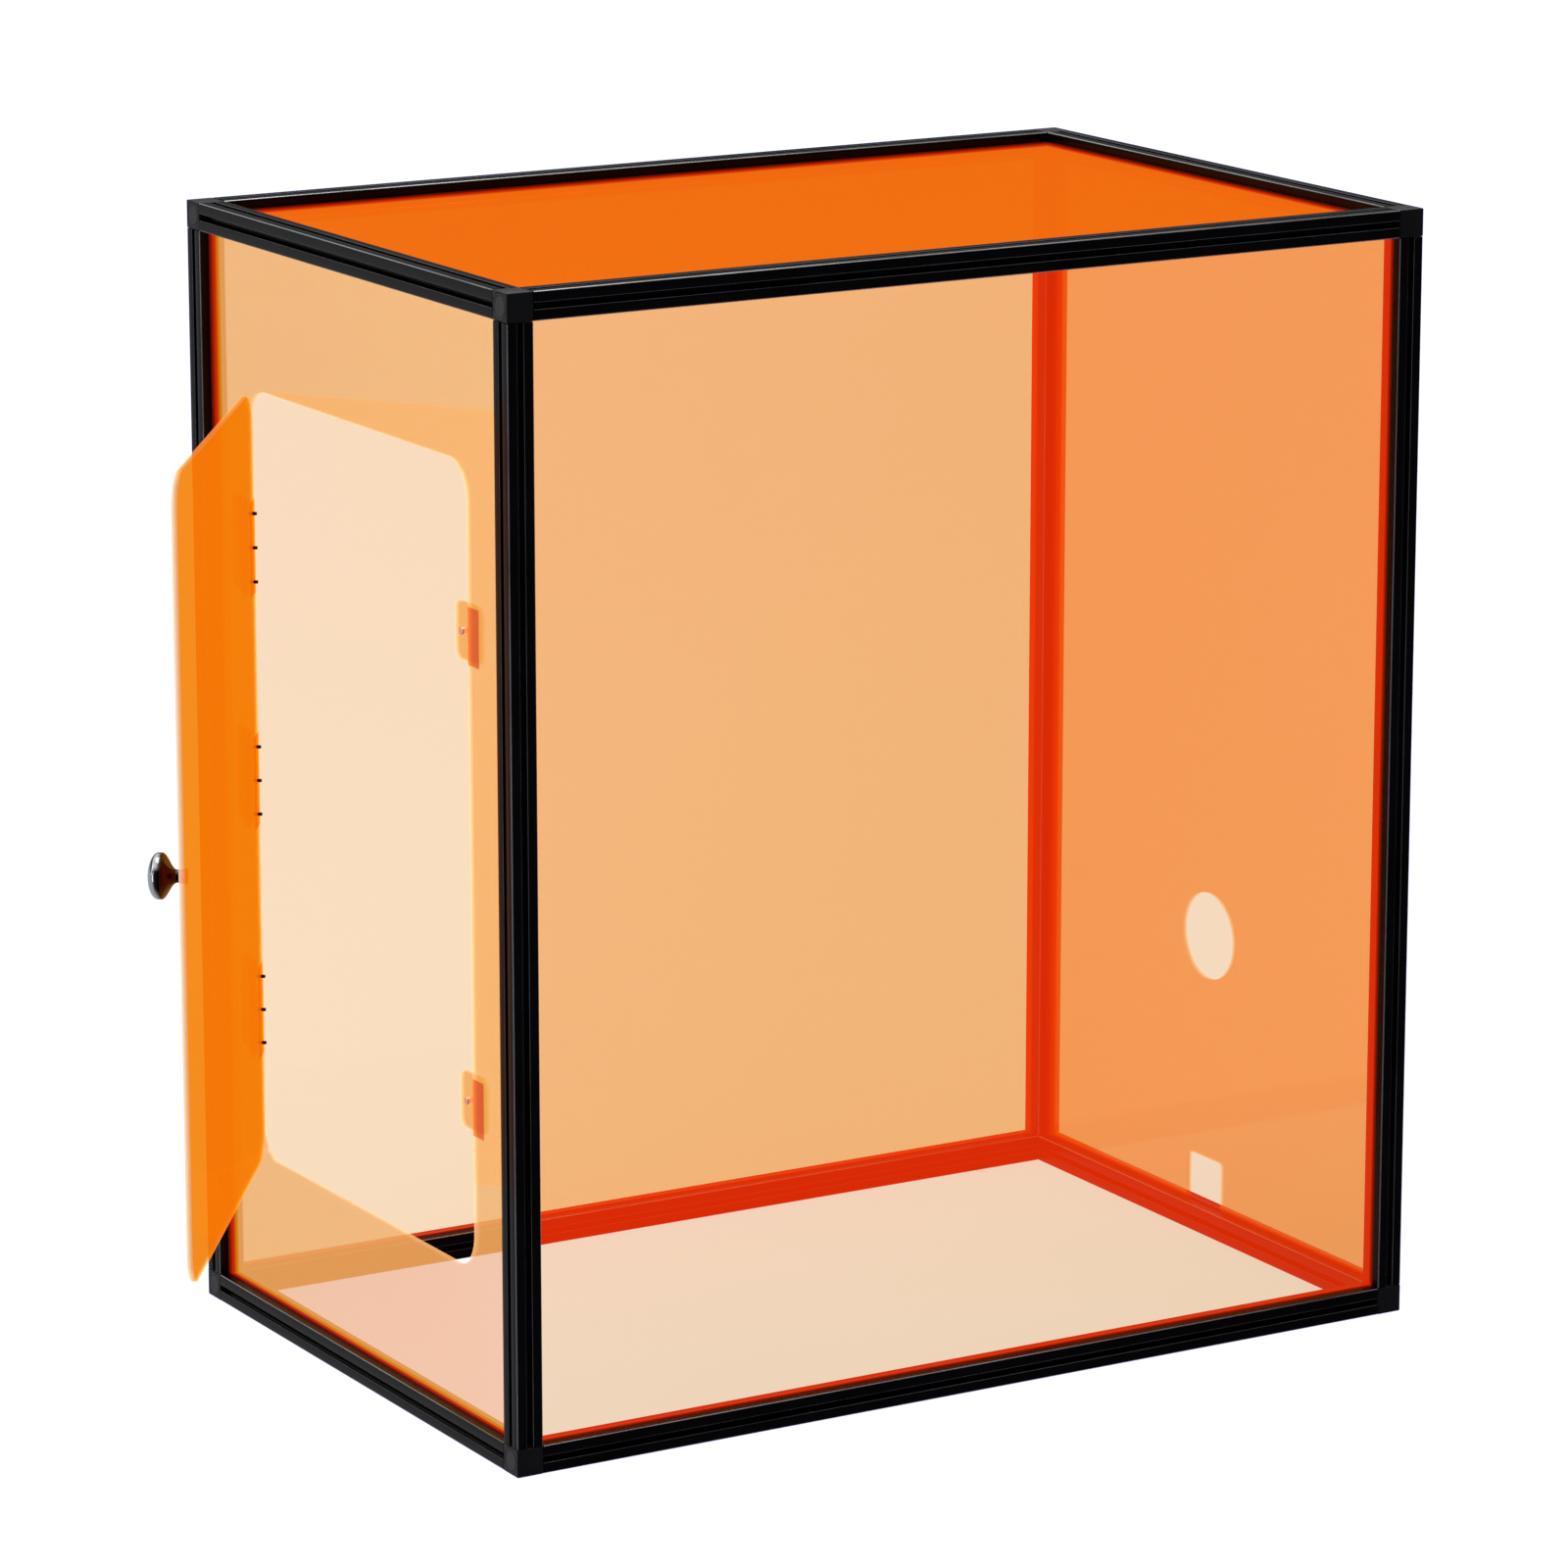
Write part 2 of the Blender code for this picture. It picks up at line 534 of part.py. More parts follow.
def main():
    clear_scene()
    black_profile = material("black_profile", (0.012, 0.012, 0.013), 0.42, 0.6)
    black_block = material("black_block", (0.018, 0.018, 0.019), 0.5, 0.3)
    black_plug = material("black_plug", (0.035, 0.035, 0.035), 0.45)
    orange_acrylic = material("orange_acrylic", (0.93, 0.33, 0.06), 0.05, 0.0, 0.45)
    black_chrome = material("black_chrome", (0.02, 0.02, 0.022), 0.08, 1.0)
    black_screw = material("black_screw", (0.02, 0.02, 0.02), 0.4, 0.5)
    steel_pin = material("steel_pin", (0.55, 0.55, 0.56), 0.3, 1.0)
    nickel = material("nickel", (0.72, 0.7, 0.68), 0.2, 1.0)

    case = bpy.data.objects.new("case", None)
    axis = bpy.data.objects.new("hinge_axis", None)
    door = bpy.data.objects.new("door_swing", None)
    for empty in (case, axis, door):
        bpy.context.scene.collection.objects.link(empty)
    case.location.x = reach_to_door_side() / 2
    axis.parent = case
    axis.location = (AXIS_X, AXIS_Y, 0)
    door.parent = axis
    door.rotation_euler.z = -math.radians(DOOR_OPEN_AT_REST)

    build_frame(black_profile, case)
    build_corners(black_block, black_plug, case)
    build_panels(orange_acrylic, case)
    build_stops(orange_acrylic, nickel, case)
    build_hinges(orange_acrylic, steel_pin, black_screw, axis, door)
    build_door(orange_acrylic, door)
    build_knob(black_chrome, door)


main()
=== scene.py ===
# %% [markdown]
# # A bench-top enclosure of orange acrylic in a black slotted frame
#
# The solid model gives the sizes, the bodies and the door's hinge. This notebook builds the looks on that
# fixed frame: the finer shapes, the finishes, the light and the camera. Every place comes from the solid
# model, so a piece fits without being nudged. The box around the solid model sets the camera's aim.

# %% Load the fixed frame
import json
import math

import bmesh
import bpy
from mathutils import Matrix, Vector


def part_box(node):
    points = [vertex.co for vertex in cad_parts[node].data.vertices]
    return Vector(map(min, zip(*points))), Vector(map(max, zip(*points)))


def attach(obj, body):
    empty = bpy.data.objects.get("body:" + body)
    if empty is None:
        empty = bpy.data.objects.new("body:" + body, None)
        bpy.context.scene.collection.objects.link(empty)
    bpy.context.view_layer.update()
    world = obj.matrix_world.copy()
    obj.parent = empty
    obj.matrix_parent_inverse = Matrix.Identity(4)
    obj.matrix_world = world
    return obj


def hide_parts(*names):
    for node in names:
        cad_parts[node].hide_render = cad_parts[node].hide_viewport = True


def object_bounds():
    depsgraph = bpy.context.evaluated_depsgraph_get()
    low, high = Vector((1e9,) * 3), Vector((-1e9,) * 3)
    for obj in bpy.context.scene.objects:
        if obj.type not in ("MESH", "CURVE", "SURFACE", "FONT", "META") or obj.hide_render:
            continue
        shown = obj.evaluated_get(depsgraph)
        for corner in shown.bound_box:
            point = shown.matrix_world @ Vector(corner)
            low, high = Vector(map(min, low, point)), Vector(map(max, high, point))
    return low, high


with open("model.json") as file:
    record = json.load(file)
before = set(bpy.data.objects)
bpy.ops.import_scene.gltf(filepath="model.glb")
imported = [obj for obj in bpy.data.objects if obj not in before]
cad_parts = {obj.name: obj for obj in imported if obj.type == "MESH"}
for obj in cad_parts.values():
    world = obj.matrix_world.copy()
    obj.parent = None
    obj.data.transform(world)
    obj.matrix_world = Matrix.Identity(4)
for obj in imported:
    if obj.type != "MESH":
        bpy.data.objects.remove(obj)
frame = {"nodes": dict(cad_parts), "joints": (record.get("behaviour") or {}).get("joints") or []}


def linked(name, data):
    """A new object in the scene."""
    thing = bpy.data.objects.new(name, data)
    scene.collection.objects.link(thing)
    return thing


MM = 0.001
QUARTER = math.pi / 2
WHITE = (1, 1, 1)
X, Y, Z = (1, 0, 0), (0, 1, 0), (0, 0, 1)
scene = bpy.context.scene
cad_low, cad_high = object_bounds()
print("solid model's box in mm:", [round(side / MM, 1) for side in cad_high - cad_low])

# %% [markdown]
# ## Measuring the frame
#
# The case is found from two opposite corner blocks, and the profile's width from one post. The door stands
# open, so its own frame is needed as well: the origin is on the hinge axis, +X points into the case and the
# shut door runs towards -Y. The largest flat face of the door tells how far the door is turned.

# %% Measure the case
case_low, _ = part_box("corner_bottom_front_door_side")
_, case_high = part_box("corner_top_back_duct_side")
CASE_SIZE = case_high - case_low
CASE_MIDDLE = (case_low + case_high) / 2
post_low, post_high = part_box("post_front_door_side")
PROFILE = post_high.x - post_low.x
FIT_GAP = post_low.z - case_low.z - PROFILE
panel_low, panel_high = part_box("panel_front")
PANEL_THICKNESS = panel_high.y - panel_low.y
PANEL_INSET = panel_low.y - case_low.y
print("case:", [round(side / MM, 1) for side in CASE_SIZE], "profile:", round(PROFILE / MM, 2))
print("fit gap:", round(FIT_GAP / MM, 2), "panel thickness:", round(PANEL_THICKNESS / MM, 2))

# %% Measure the open door
def door_box(name):
    """The lowest and highest corner of a node, in the door's own frame."""
    points = [to_door @ vertex.co for vertex in frame["nodes"][name].data.vertices]
    axes = list(zip(*points))
    return Vector(map(min, axes)), Vector(map(max, axes))


joint = frame["joints"][0]
broadest = max(frame["nodes"]["door"].data.polygons, key=lambda face: face.area)
inward = broadest.normal.copy()
if inward.x < 0:
    inward.negate()
DOOR_TURN = math.atan2(inward.y, inward.x)
HINGE_AXIS = Vector((joint["pos_m"][0], joint["pos_m"][1], 0))
DOOR_PLACE = Matrix.Translation(HINGE_AXIS) @ Matrix.Rotation(DOOR_TURN, 4, "Z")
to_door = DOOR_PLACE.inverted()
DOOR_LOW, DOOR_HIGH = door_box("door")
print("door is turned", round(math.degrees(DOOR_TURN), 2), "degrees, size in mm:",
      [round(side / MM, 2) for side in DOOR_HIGH - DOOR_LOW])

# %% [markdown]
# ## A short way to write node trees
#
# A finish is a tree of nodes. One method adds any node with its settings and its sockets, and a small class
# wraps a number's socket, so that `1 - mask * 0.5` adds the Math nodes by itself. The same method serves
# the geometry trees further down.

# %% Helpers for node trees
def spaced(sockets):
    """Sockets by their real names, which have spaces where Python's names have underscores."""
    return {name.replace("_", " "): value for name, value in sockets.items()}


class Number:
    """A number that changes over a surface. Maths on it adds Math nodes."""

    def __init__(self, tree, socket):
        self.tree = tree
        self.socket = socket

    def maths(self, operation, *others, clamp=False):
        values = dict(enumerate((self, *others)))
        node = self.tree.add("ShaderNodeMath", values, {"operation": operation, "use_clamp": clamp})
        return Number(self.tree, node.outputs[0])

    def __add__(self, other):
        return self.maths("ADD", other)

    def __sub__(self, other):
        return self.maths("SUBTRACT", other)

    def __mul__(self, other):
        return self.maths("MULTIPLY", other)

    def __rsub__(self, other):
        return self * -1 + other

    def clamped(self):
        return self.maths("ADD", 0.0, clamp=True)


class Tree:
    """A node tree with one method that adds a node to it, and short ways to the commonest nodes."""

    def __init__(self, tree):
        self.tree = tree

    def add(self, kind, sockets=None, settings=None):
        node = self.tree.nodes.new(kind)
        for name, setting in (settings or {}).items():
            setattr(node, name, setting)
        for key, value in (sockets or {}).items():
            source = value.socket if isinstance(value, Number) else value
            if isinstance(source, bpy.types.NodeSocket):
                self.tree.links.new(source, node.inputs[key])
            else:
                node.inputs[key].default_value = source
        return node

    def out(self, kind, sockets=None, settings=None):
        """The first output of a new node."""
        return self.add(kind, sockets, settings).outputs[0]

    def number(self, kind, output, sockets=None, settings=None):
        return Number(self, self.add(kind, sockets, settings).outputs[output])

    def split(self, vector):
        """The three numbers of a vector."""
        outputs = self.add("ShaderNodeSeparateXYZ", {0: vector}).outputs
        return [Number(self, output) for output in outputs]

    def step(self, number, low, high, shape="SMOOTHSTEP"):
        """0 below low, 1 above high, and a soft or a straight step between them."""
        sockets = {"Value": number, "From Min": low, "From Max": high}
        return self.number("ShaderNodeMapRange", 0, sockets, {"interpolation_type": shape})

    def mix(self, share, first, second):
        """The first shader where the share is 0, and the second where it is 1."""
        return self.out("ShaderNodeMixShader", {0: share, 1: first, 2: second})


class Finish(Tree):
    """A material under construction."""

    def __init__(self, name):
        self.material = bpy.data.materials.new(name)
        self.material.use_nodes = True
        super().__init__(self.material.node_tree)
        self.tree.nodes.clear()
        self.end = self.add("ShaderNodeOutputMaterial")

    def place(self, scale=(1, 1, 1), attribute=None):
        """Where a point is: on the piece's own axes, or in a stored attribute, stretched by a scale."""
        if attribute:
            source = self.add("ShaderNodeAttribute", None, {"attribute_name": attribute}).outputs["Vector"]
        else:
            source = self.add("ShaderNodeTexCoord").outputs["Object"]
        return self.out("ShaderNodeMapping", {"Vector": source, "Scale": scale})

    def noise(self, place, scale, detail=3.0, roughness=0.5):
        sockets = {"Vector": place, "Scale": scale, "Detail": detail, "Roughness": roughness}
        return self.number("ShaderNodeTexNoise", "Fac", sockets)

    def between(self, share, first, second):
        """A colour between two, each given as three numbers or as another node's colour."""
        ends = [(*end, 1.0) if isinstance(end, tuple) else end for end in (first, second)]
        sockets = {"Factor": share, 6: ends[0], 7: ends[1]}
        return self.add("ShaderNodeMix", sockets, {"data_type": "RGBA"}).outputs[2]

    def clear(self, colour=WHITE):
        return self.out("ShaderNodeBsdfTransparent", {"Color": (*colour, 1)})

    def light(self, colour):
        return self.out("ShaderNodeEmission", {"Color": (*colour, 1), "Strength": 1.0})

    def glowing(self, glow, colour=WHITE):
        """A clear or tinted shader with Emission added, which paints light into it."""
        return self.out("ShaderNodeAddShader", {0: self.clear(colour), 1: self.light(glow)})

    def bump(self, height, distance, strength):
        sockets = {"Height": height, "Distance": distance, "Strength": strength}
        return self.out("ShaderNodeBump", sockets)

    def surface(self, shader):
        self.tree.links.new(shader, self.end.inputs["Surface"])
        return self.material

    def principled(self, **sockets):
        return self.surface(self.out("ShaderNodeBsdfPrincipled", spaced(sockets)))


print("helpers ready")

# %% [markdown]
# ## Camera
#
# The camera looks at the door side and the front from a little above, with a long lens, so that upright
# edges stay nearly parallel. It is placed by two angles and a distance around a point near the middle of
# the case.

# %% Place the camera
CAMERA_TURN = math.radians(-30.53)
CAMERA_RISE = math.radians(13.40)
CAMERA_DISTANCE = 3.691
CAMERA_LENS = 156.8
CAMERA_AIM = (cad_low + cad_high) / 2 + Vector((0.0587, 0.0, -0.0101))
towards_camera = Vector((
    math.sin(CAMERA_TURN) * math.cos(CAMERA_RISE),
    -math.cos(CAMERA_TURN) * math.cos(CAMERA_RISE),
    math.sin(CAMERA_RISE),
))
camera = linked("camera", bpy.data.cameras.new("camera"))
camera.data.lens = CAMERA_LENS
camera.data.clip_end = 50
camera.location = CAMERA_AIM + CAMERA_DISTANCE * towards_camera
camera.rotation_euler = towards_camera.to_track_quat("Z", "Y").to_euler()
scene.camera = camera
print("camera stands at", [round(value, 3) for value in camera.location])

# %% [markdown]
# ## Studio light
#
# The room is dark in front of the case, half bright low behind it, dark in a band at the horizon and bright
# above. That keeps the flat faces of the frame black or dark grey and lets its long edges catch thin lines
# of light. The backdrop itself is plain white, and a little above white, because thin orange sheets are
# judged by the light that comes through them.

# %% Build the room
WHITE_ROOM = (1.08, 1.08, 1.32, 1.0)
MIRRORED_ROOM = (1.05, 1.05, 1.08, 1.0)
BELOW_LEVEL = 0.45
HORIZON_LEVEL = 0.05
OVERHEAD_LEVEL = 0.9
DARK_LEVEL = 0.012
world = bpy.data.worlds.new("studio")
world.use_nodes = True
scene.world = world
room = Tree(world.node_tree)
room.tree.nodes.clear()
direction = room.add("ShaderNodeTexCoord").outputs["Generated"]
_, depth, rise = room.split(direction)
behind = room.step(depth, -0.45, 0.45)
below = 1.0 - room.step(rise, -0.05, 0.1)
above = room.step(rise, 0.30, 0.48)
overhead = room.step(rise, 0.55, 0.9)
low_wall = behind * (below * BELOW_LEVEL + above + HORIZON_LEVEL)
level = (low_wall + overhead * OVERHEAD_LEVEL + DARK_LEVEL).clamped()
seen = room.number("ShaderNodeLightPath", "Is Camera Ray")
backdrop = room.out("ShaderNodeBackground", {"Color": WHITE_ROOM})
studio = room.out("ShaderNodeBackground", {"Color": MIRRORED_ROOM, "Strength": level})
room.add("ShaderNodeOutputWorld", {"Surface": room.mix(seen, studio, backdrop)})
scene.view_settings.view_transform = "Standard"
scene.cycles.transparent_max_bounces = 32
print("room lit, brightest colour", WHITE_ROOM[:3])

# %% Hang the soft lights
# Each soft light has its place in metres, its width and height, and its power in watts.
SOFTBOXES = {
    "overhead_softbox": ((0.1, 0.2, 2.2), (1.6, 1.2), 22),
    "left_softbox": ((-2.2, 1.3, 1.1), (0.8, 1.6), 4),
    "right_softbox": ((2.2, 0.6, 1.2), (1.0, 1.6), 8),
    "knob_strip": ((-2.3, 0.1, 0.35), (0.2, 1.2), 4),
}
for name, (place, size, power) in SOFTBOXES.items():
    lamp = bpy.data.lights.new(name, "AREA")
    lamp.shape = "RECTANGLE"
    lamp.size, lamp.size_y = size
    lamp.energy = power
    holder = linked(name, lamp)
    holder.location = place
    holder.rotation_euler = (Vector(place) - CASE_MIDDLE).to_track_quat("Z", "Y").to_euler()
    holder.visible_camera = False
print(len(SOFTBOXES), "soft lights hung")

# %% Lay the floor
FLOOR_HALF = 6.0
FLOOR_DROP = 0.4 * MM
FLOOR_GLOW = (1.13, 1.16, 1.48)
FLOOR_MATT_SHARE = 0.15
floor_mesh = bpy.data.meshes.new("floor")
floor_corners = [(x * FLOOR_HALF, y * FLOOR_HALF, 0) for x, y in ((-1, -1), (1, -1), (1, 1), (-1, 1))]
floor_mesh.from_pydata(floor_corners, [], [(0, 1, 2, 3)])
floor = linked("floor", floor_mesh)
floor.location.z = -FLOOR_DROP
floor.visible_glossy = False
pale = Finish("pale_floor")
board_colour = pale.between(pale.noise(pale.place(), 40.0), (0.8, 0.8, 0.82), (0.86, 0.86, 0.88))
board = pale.out("ShaderNodeBsdfDiffuse", {"Color": board_colour})
floor_mesh.materials.append(pale.surface(pale.mix(FLOOR_MATT_SHARE, pale.light(FLOOR_GLOW), board)))
print("floor laid")

# %% [markdown]
# ## Orange acrylic
#
# The sheets are 3 mm cast acrylic dyed orange. What lies behind shows through a colour that deepens with
# the length of the way through the sheet, and the sheet is seen lit a warm red. A closed sheet with a Volume
# Absorption gives the first, since the way through grows by itself when the sheet is seen at a slant. The
# second is painted light: a clear shader with a little Emission added stands in for the room's light
# scattered in the dye. Polished faces mirror the room by Fresnel's law.

# %% Helpers for the acrylic
# Painted light: the Emission colour of a sheet seen face on, standing in for the room's light scattered in
# the dye.
PAINTED_GLOW_FACE_ON = (0.71, 0.023, 0.001)
# Painted shade: the dim red glow where a bar stands close behind a sheet or near the floor.
PAINTED_SHADE_GLOW = (0.16, 0.005, 0.0)
# Painted light: the pale Emission of a cut edge.
PAINTED_EDGE_GLOW = (1.0, 0.74, 0.46)
# Painted light: the tint that deepens a sheet's colour where a tab or a hinge leaf lies behind it.
PAINTED_BACKED_TINT = (0.9, 0.5, 0.02)
AREA_EDGE = 0.35 * MM
# Painted shade near the floor: the height over which the glow dims.
FLOOR_SHADE_HEIGHT = 0.16
ACRYLIC_INDEX = 1.49
MOST_MIRRORED = 0.16
DYE_MARGIN = 1.02


def rim_light(finish, rims):
    """The mask of painted shade: 1 on the open sheet, falling to 0 where a bar stands close behind it."""
    axes = finish.split(finish.place())
    light = None
    for axis, side, start, band in rims:
        reach = CASE_SIZE[axis] / 2 - PROFILE + side * CASE_MIDDLE[axis] - start
        lit = finish.step(reach - axes[axis] * side, 0.0, band, "LINEAR")
        light = light.maths("MINIMUM", lit) if light else lit
    return light


def backed_share(finish, area):
    """1 inside an area, which is given as directions with the range that a point may lie in along each."""
    inside = 1
    for direction, low, high in area:
        sockets = {0: finish.place(), 1: tuple(direction)}
        along = finish.number("ShaderNodeVectorMath", "Value", sockets, {"operation": "DOT_PRODUCT"})
        past_low, past_high = (finish.step(along, end - AREA_EDGE, end + AREA_EDGE) for end in (low, high))
        inside = past_low * (1 - past_high) * inside
    return inside


def acrylic(name, absorbed_per_metre, painted_glow_slanted, gloss, gloss_colour=WHITE, rims=(), floor_shaded_to=1.0,
            face_tint=WHITE, backed=(), painted_backed_glow=WHITE):
    """A dyed sheet with painted light: its Emission glow changes with how slanted it is seen, and painted
    shade darkens it in its rims and near the floor.
    """
    finish = Finish(name)
    place = finish.place()
    cloud = finish.noise(place, 5.0, 2.0)
    smudge = finish.noise(place, 38.0, 5.0, 0.6)
    turned_away = finish.number("ShaderNodeLayerWeight", "Facing", {"Blend": 0.5})
    slant = (finish.step(turned_away, 0.15, 0.50) + (cloud - 0.5) * 0.10).clamped()
    # Painted light: the Emission glow, mixed by how slanted the sheet is seen.
    body = finish.mix(slant, finish.glowing(PAINTED_GLOW_FACE_ON, face_tint), finish.glowing(painted_glow_slanted))
    if rims:
        # Painted shade: the glow falls to a dim red near the floor and where a bar stands close behind the
        # sheet.
        shaded = finish.glowing(PAINTED_SHADE_GLOW)
        light = rim_light(finish, rims)
        height = finish.split(place)[2]
        body = finish.mix(finish.step(height, 0.0, FLOOR_SHADE_HEIGHT) * (1 - floor_shaded_to) + floor_shaded_to, shaded, body)
        body = finish.mix(finish.step(light, 0.5, 1.0), finish.glowing(PAINTED_GLOW_FACE_ON), body)
        body = finish.mix(finish.step(light, 0.0, 0.5), shaded, body)
    # Painted light: a deeper glow and tint where a tab or a hinge leaf lies behind the sheet.
    for area in backed:
        body = finish.mix(backed_share(finish, area) * slant, body, finish.glowing(painted_backed_glow, PAINTED_BACKED_TINT))
    polish = finish.step(smudge, 0.35, 0.75)
    waviness = finish.bump(finish.noise(place, 9.0, 1.0) + smudge * 0.02, 0.0008, 0.25)
    mirror = finish.out("ShaderNodeBsdfGlossy", {
        "Color": (*gloss_colour, 1), "Roughness": polish * 0.05 + 0.015, "Normal": waviness})
    fresnel = finish.number("ShaderNodeFresnel", 0, {"IOR": ACRYLIC_INDEX})
    outer = finish.mix((fresnel * gloss).maths("MINIMUM", MOST_MIRRORED), body, mirror)
    inside = finish.number("ShaderNodeNewGeometry", "Backfacing")
    sawn = finish.noise(finish.place((300, 300, 300)), 1.0, 4.0)
    edge = finish.number("ShaderNodeAttribute", "Fac", None, {"attribute_name": "painted_edge_light"})
    whole = finish.mix(inside, outer, finish.clear())
    # Painted light: Emission that makes the cut edges pale.
    whole = finish.mix(edge * (sawn * 0.3 + 0.6), whole, finish.light(PAINTED_EDGE_GLOW))
    density = DYE_MARGIN * max(absorbed_per_metre)
    tint = tuple(1 - value / density for value in absorbed_per_metre)
    dye = finish.add("ShaderNodeVolumeAbsorption", {"Color": (*tint, 1), "Density": density})
    finish.tree.links.new(dye.outputs[0], finish.end.inputs["Volume"])
    return finish.surface(whole)


print("acrylic helpers ready")

# %% Find where the acrylic gets painted shade
# Each rim is a band of painted shade: an axis, the side it lies on, how far in from the bars it starts, and
# how wide it is.
BACK_POST = (1, 1, 0.0, 11 * MM)
RIGHT_POST = (0, 1, 0.0, 5 * MM)
BOTTOM_RAIL = (2, -1, 0.0, 3.0 * MM)
TOP_RIMS = [(1, 1, 0.0, 16 * MM), (0, 1, 0.0, 10 * MM)]
# Painted shade on the stop tab, over its part that lies behind the door side sheet.
TAB_PAINTED_SHADE = [(1, -1, 44 * MM, 4 * MM)]
TAB_BONDED_FROM = -5 * MM
TAB_BONDED_TO = 7 * MM
HINGES = ("lower", "middle", "upper")
TABS = ("lower", "upper")


def bonded_area(tab):
    """Where a stop tab is bonded behind its sheet. The sheet gets a deeper painted glow and a painted tint
    there.
    """
    low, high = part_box(f"stop_tab_{tab}")
    return (Vector(Y), low.y + TAB_BONDED_FROM, low.y + TAB_BONDED_TO), (Vector(Z), low.z, high.z)


def leaf_area(hinge):
    """Where a hinge leaf lies behind the door. The door gets a deeper painted glow and a painted tint there.
    """
    spans = []
    for direction in (DOOR_PLACE.to_3x3() @ Vector(Y), Vector(Z)):
        leaf = frame["nodes"][f"hinge_{hinge}_door_leaf"].data
        reach = [vertex.co.dot(direction) for vertex in leaf.vertices]
        spans.append((direction, min(reach), max(reach)))
    return spans


bonded_areas = [bonded_area(tab) for tab in TABS]
leaf_areas = [leaf_area(hinge) for hinge in HINGES]
print(len(bonded_areas), "tabs and", len(leaf_areas), "hinge leaves lie against a sheet")

# %% Mix the acrylic
ORANGE_SHEEN = (0.9, 0.25, 0.02)
WARM_SHEEN = (1, 0.6, 0.3)
# Each sheet: what its dye absorbs per metre, its painted glow when seen slanted, and how much its faces
# mirror.
ACRYLICS = {
    "panel_front": acrylic(
        "acrylic_front", (430, 131, 262), (0.86, 0.05, 0.002), 0.5, rims=[RIGHT_POST, BOTTOM_RAIL],
        floor_shaded_to=0.87),
    "panel_back": acrylic(
        "acrylic_back", (430, 127, 278), (0.86, 0.05, 0.002), 0.5, rims=[RIGHT_POST, BOTTOM_RAIL]),
    "panel_door_side": acrylic(
        "acrylic_door_side", (265, 188, 180), (0.79, 0.285, 0.006), 1.8, rims=[BACK_POST, BOTTOM_RAIL],
        face_tint=(0.8, 1.0, 0.62), backed=bonded_areas, painted_backed_glow=(0.62, 0.035, 0.0)),
    "panel_duct_side": acrylic(
        "acrylic_duct_side", (265, 180, 305), (0.80, 0.10, 0.001), 1.0, rims=[BACK_POST, BOTTOM_RAIL],
        face_tint=(0.8, 1.0, 0.75)),
    "panel_top": acrylic(
        "acrylic_top", (250, 185, 303), (1.04, 0.17, 0.006), 0.4, ORANGE_SHEEN, TOP_RIMS),
    "door": acrylic(
        "acrylic_door", (300, 131, 249), (0.94, 0.205, 0.002), 0.4, ORANGE_SHEEN,
        backed=leaf_areas, painted_backed_glow=(0.92, 0.13, 0.001)),
    "stop_tab": acrylic(
        "acrylic_tab", (200, 150, 300), (0.66, 0.17, 0.06), 0.6, rims=TAB_PAINTED_SHADE),
    "hinge_leaf": acrylic(
        "acrylic_leaf", (600, 300, 500), (0.74, 0.03, 0.001), 0.5, WARM_SHEEN),
}
print(len(ACRYLICS), "acrylic finishes mixed")

# %% Black and metal finishes
# The sizes of the profile's section come first, because its finish is worn bright along the section's
# corners: partly wear, partly a painted highlight that draws thin lines of light along the bars.
SLOT_MOUTH = 3.6 * MM
SLOT_DEPTH = 4.4 * MM
SLOT_LIP = 1.4 * MM
SLOT_UNDERCUT = 1.3 * MM
BORE_RADIUS = 1.6 * MM
OUTER_RADIUS = 0.8 * MM
LIP_RADIUS = 0.28 * MM
INNER_RADIUS = 0.15 * MM
WORN_EDGE_HIGHLIGHT_COLOUR = (0.42, 0.42, 0.43)


def anodised():
    """Black anodising with drawing marks along the bar, worn brighter on the bar's long edges: partly wear,
    partly a painted highlight line.
    """
    finish = Finish("black_anodised")
    drawn = finish.noise(finish.place((900, 900, 6), "bar_place"), 1.0, 4.0, 0.6)
    blotch = finish.noise(finish.place(), 30.0)
    reach_x, reach_y, _ = finish.split(finish.place(attribute="bar_place"))
    reach_x, reach_y = reach_x.maths("ABSOLUTE"), reach_y.maths("ABSOLUTE")
    farther, nearer = reach_x.maths("MAXIMUM", reach_y), reach_x.maths("MINIMUM", reach_y)
    half, mouth = PROFILE / 2, SLOT_MOUTH / 2
    # Partly wear, partly painted highlight: bare metal along the section's corners and lips.
    corner = finish.step(nearer, half - OUTER_RADIUS * 0.8, half - OUTER_RADIUS * 0.4)
    lip = finish.step(farther, half - LIP_RADIUS * 1.4, half - LIP_RADIUS * 0.7)
    lip = lip * (1 - finish.step(nearer, mouth + LIP_RADIUS * 0.3, mouth + LIP_RADIUS))
    worn_edge_highlight = (corner * 0.85 + lip * 0.3).clamped() * finish.step(drawn + blotch * 0.4, 0.35, 0.85)
    black = finish.between(blotch, (0.0012, 0.0012, 0.0013), (0.0032, 0.0032, 0.0034))
    return finish.principled(
        Base_Color=finish.between(worn_edge_highlight, black, WORN_EDGE_HIGHLIGHT_COLOUR), Metallic=worn_edge_highlight,
        Roughness=drawn * 0.10 + blotch * 0.08 + 0.17, Specular_IOR_Level=0.10,
        Normal=finish.bump(drawn, 0.00003, 0.5))


def grained_black(name, shades, grain, blotches, roughness, specular, relief):
    """Cast or moulded black. The grain is a noise's scale, detail and roughness; the relief is a bump's."""
    finish = Finish(name)
    blotch = finish.noise(finish.place(), blotches)
    return finish.principled(
        Base_Color=finish.between(blotch, *shades), Roughness=blotch * 0.15 + roughness,
        Specular_IOR_Level=specular, Normal=finish.bump(finish.noise(finish.place(), *grain), *relief))


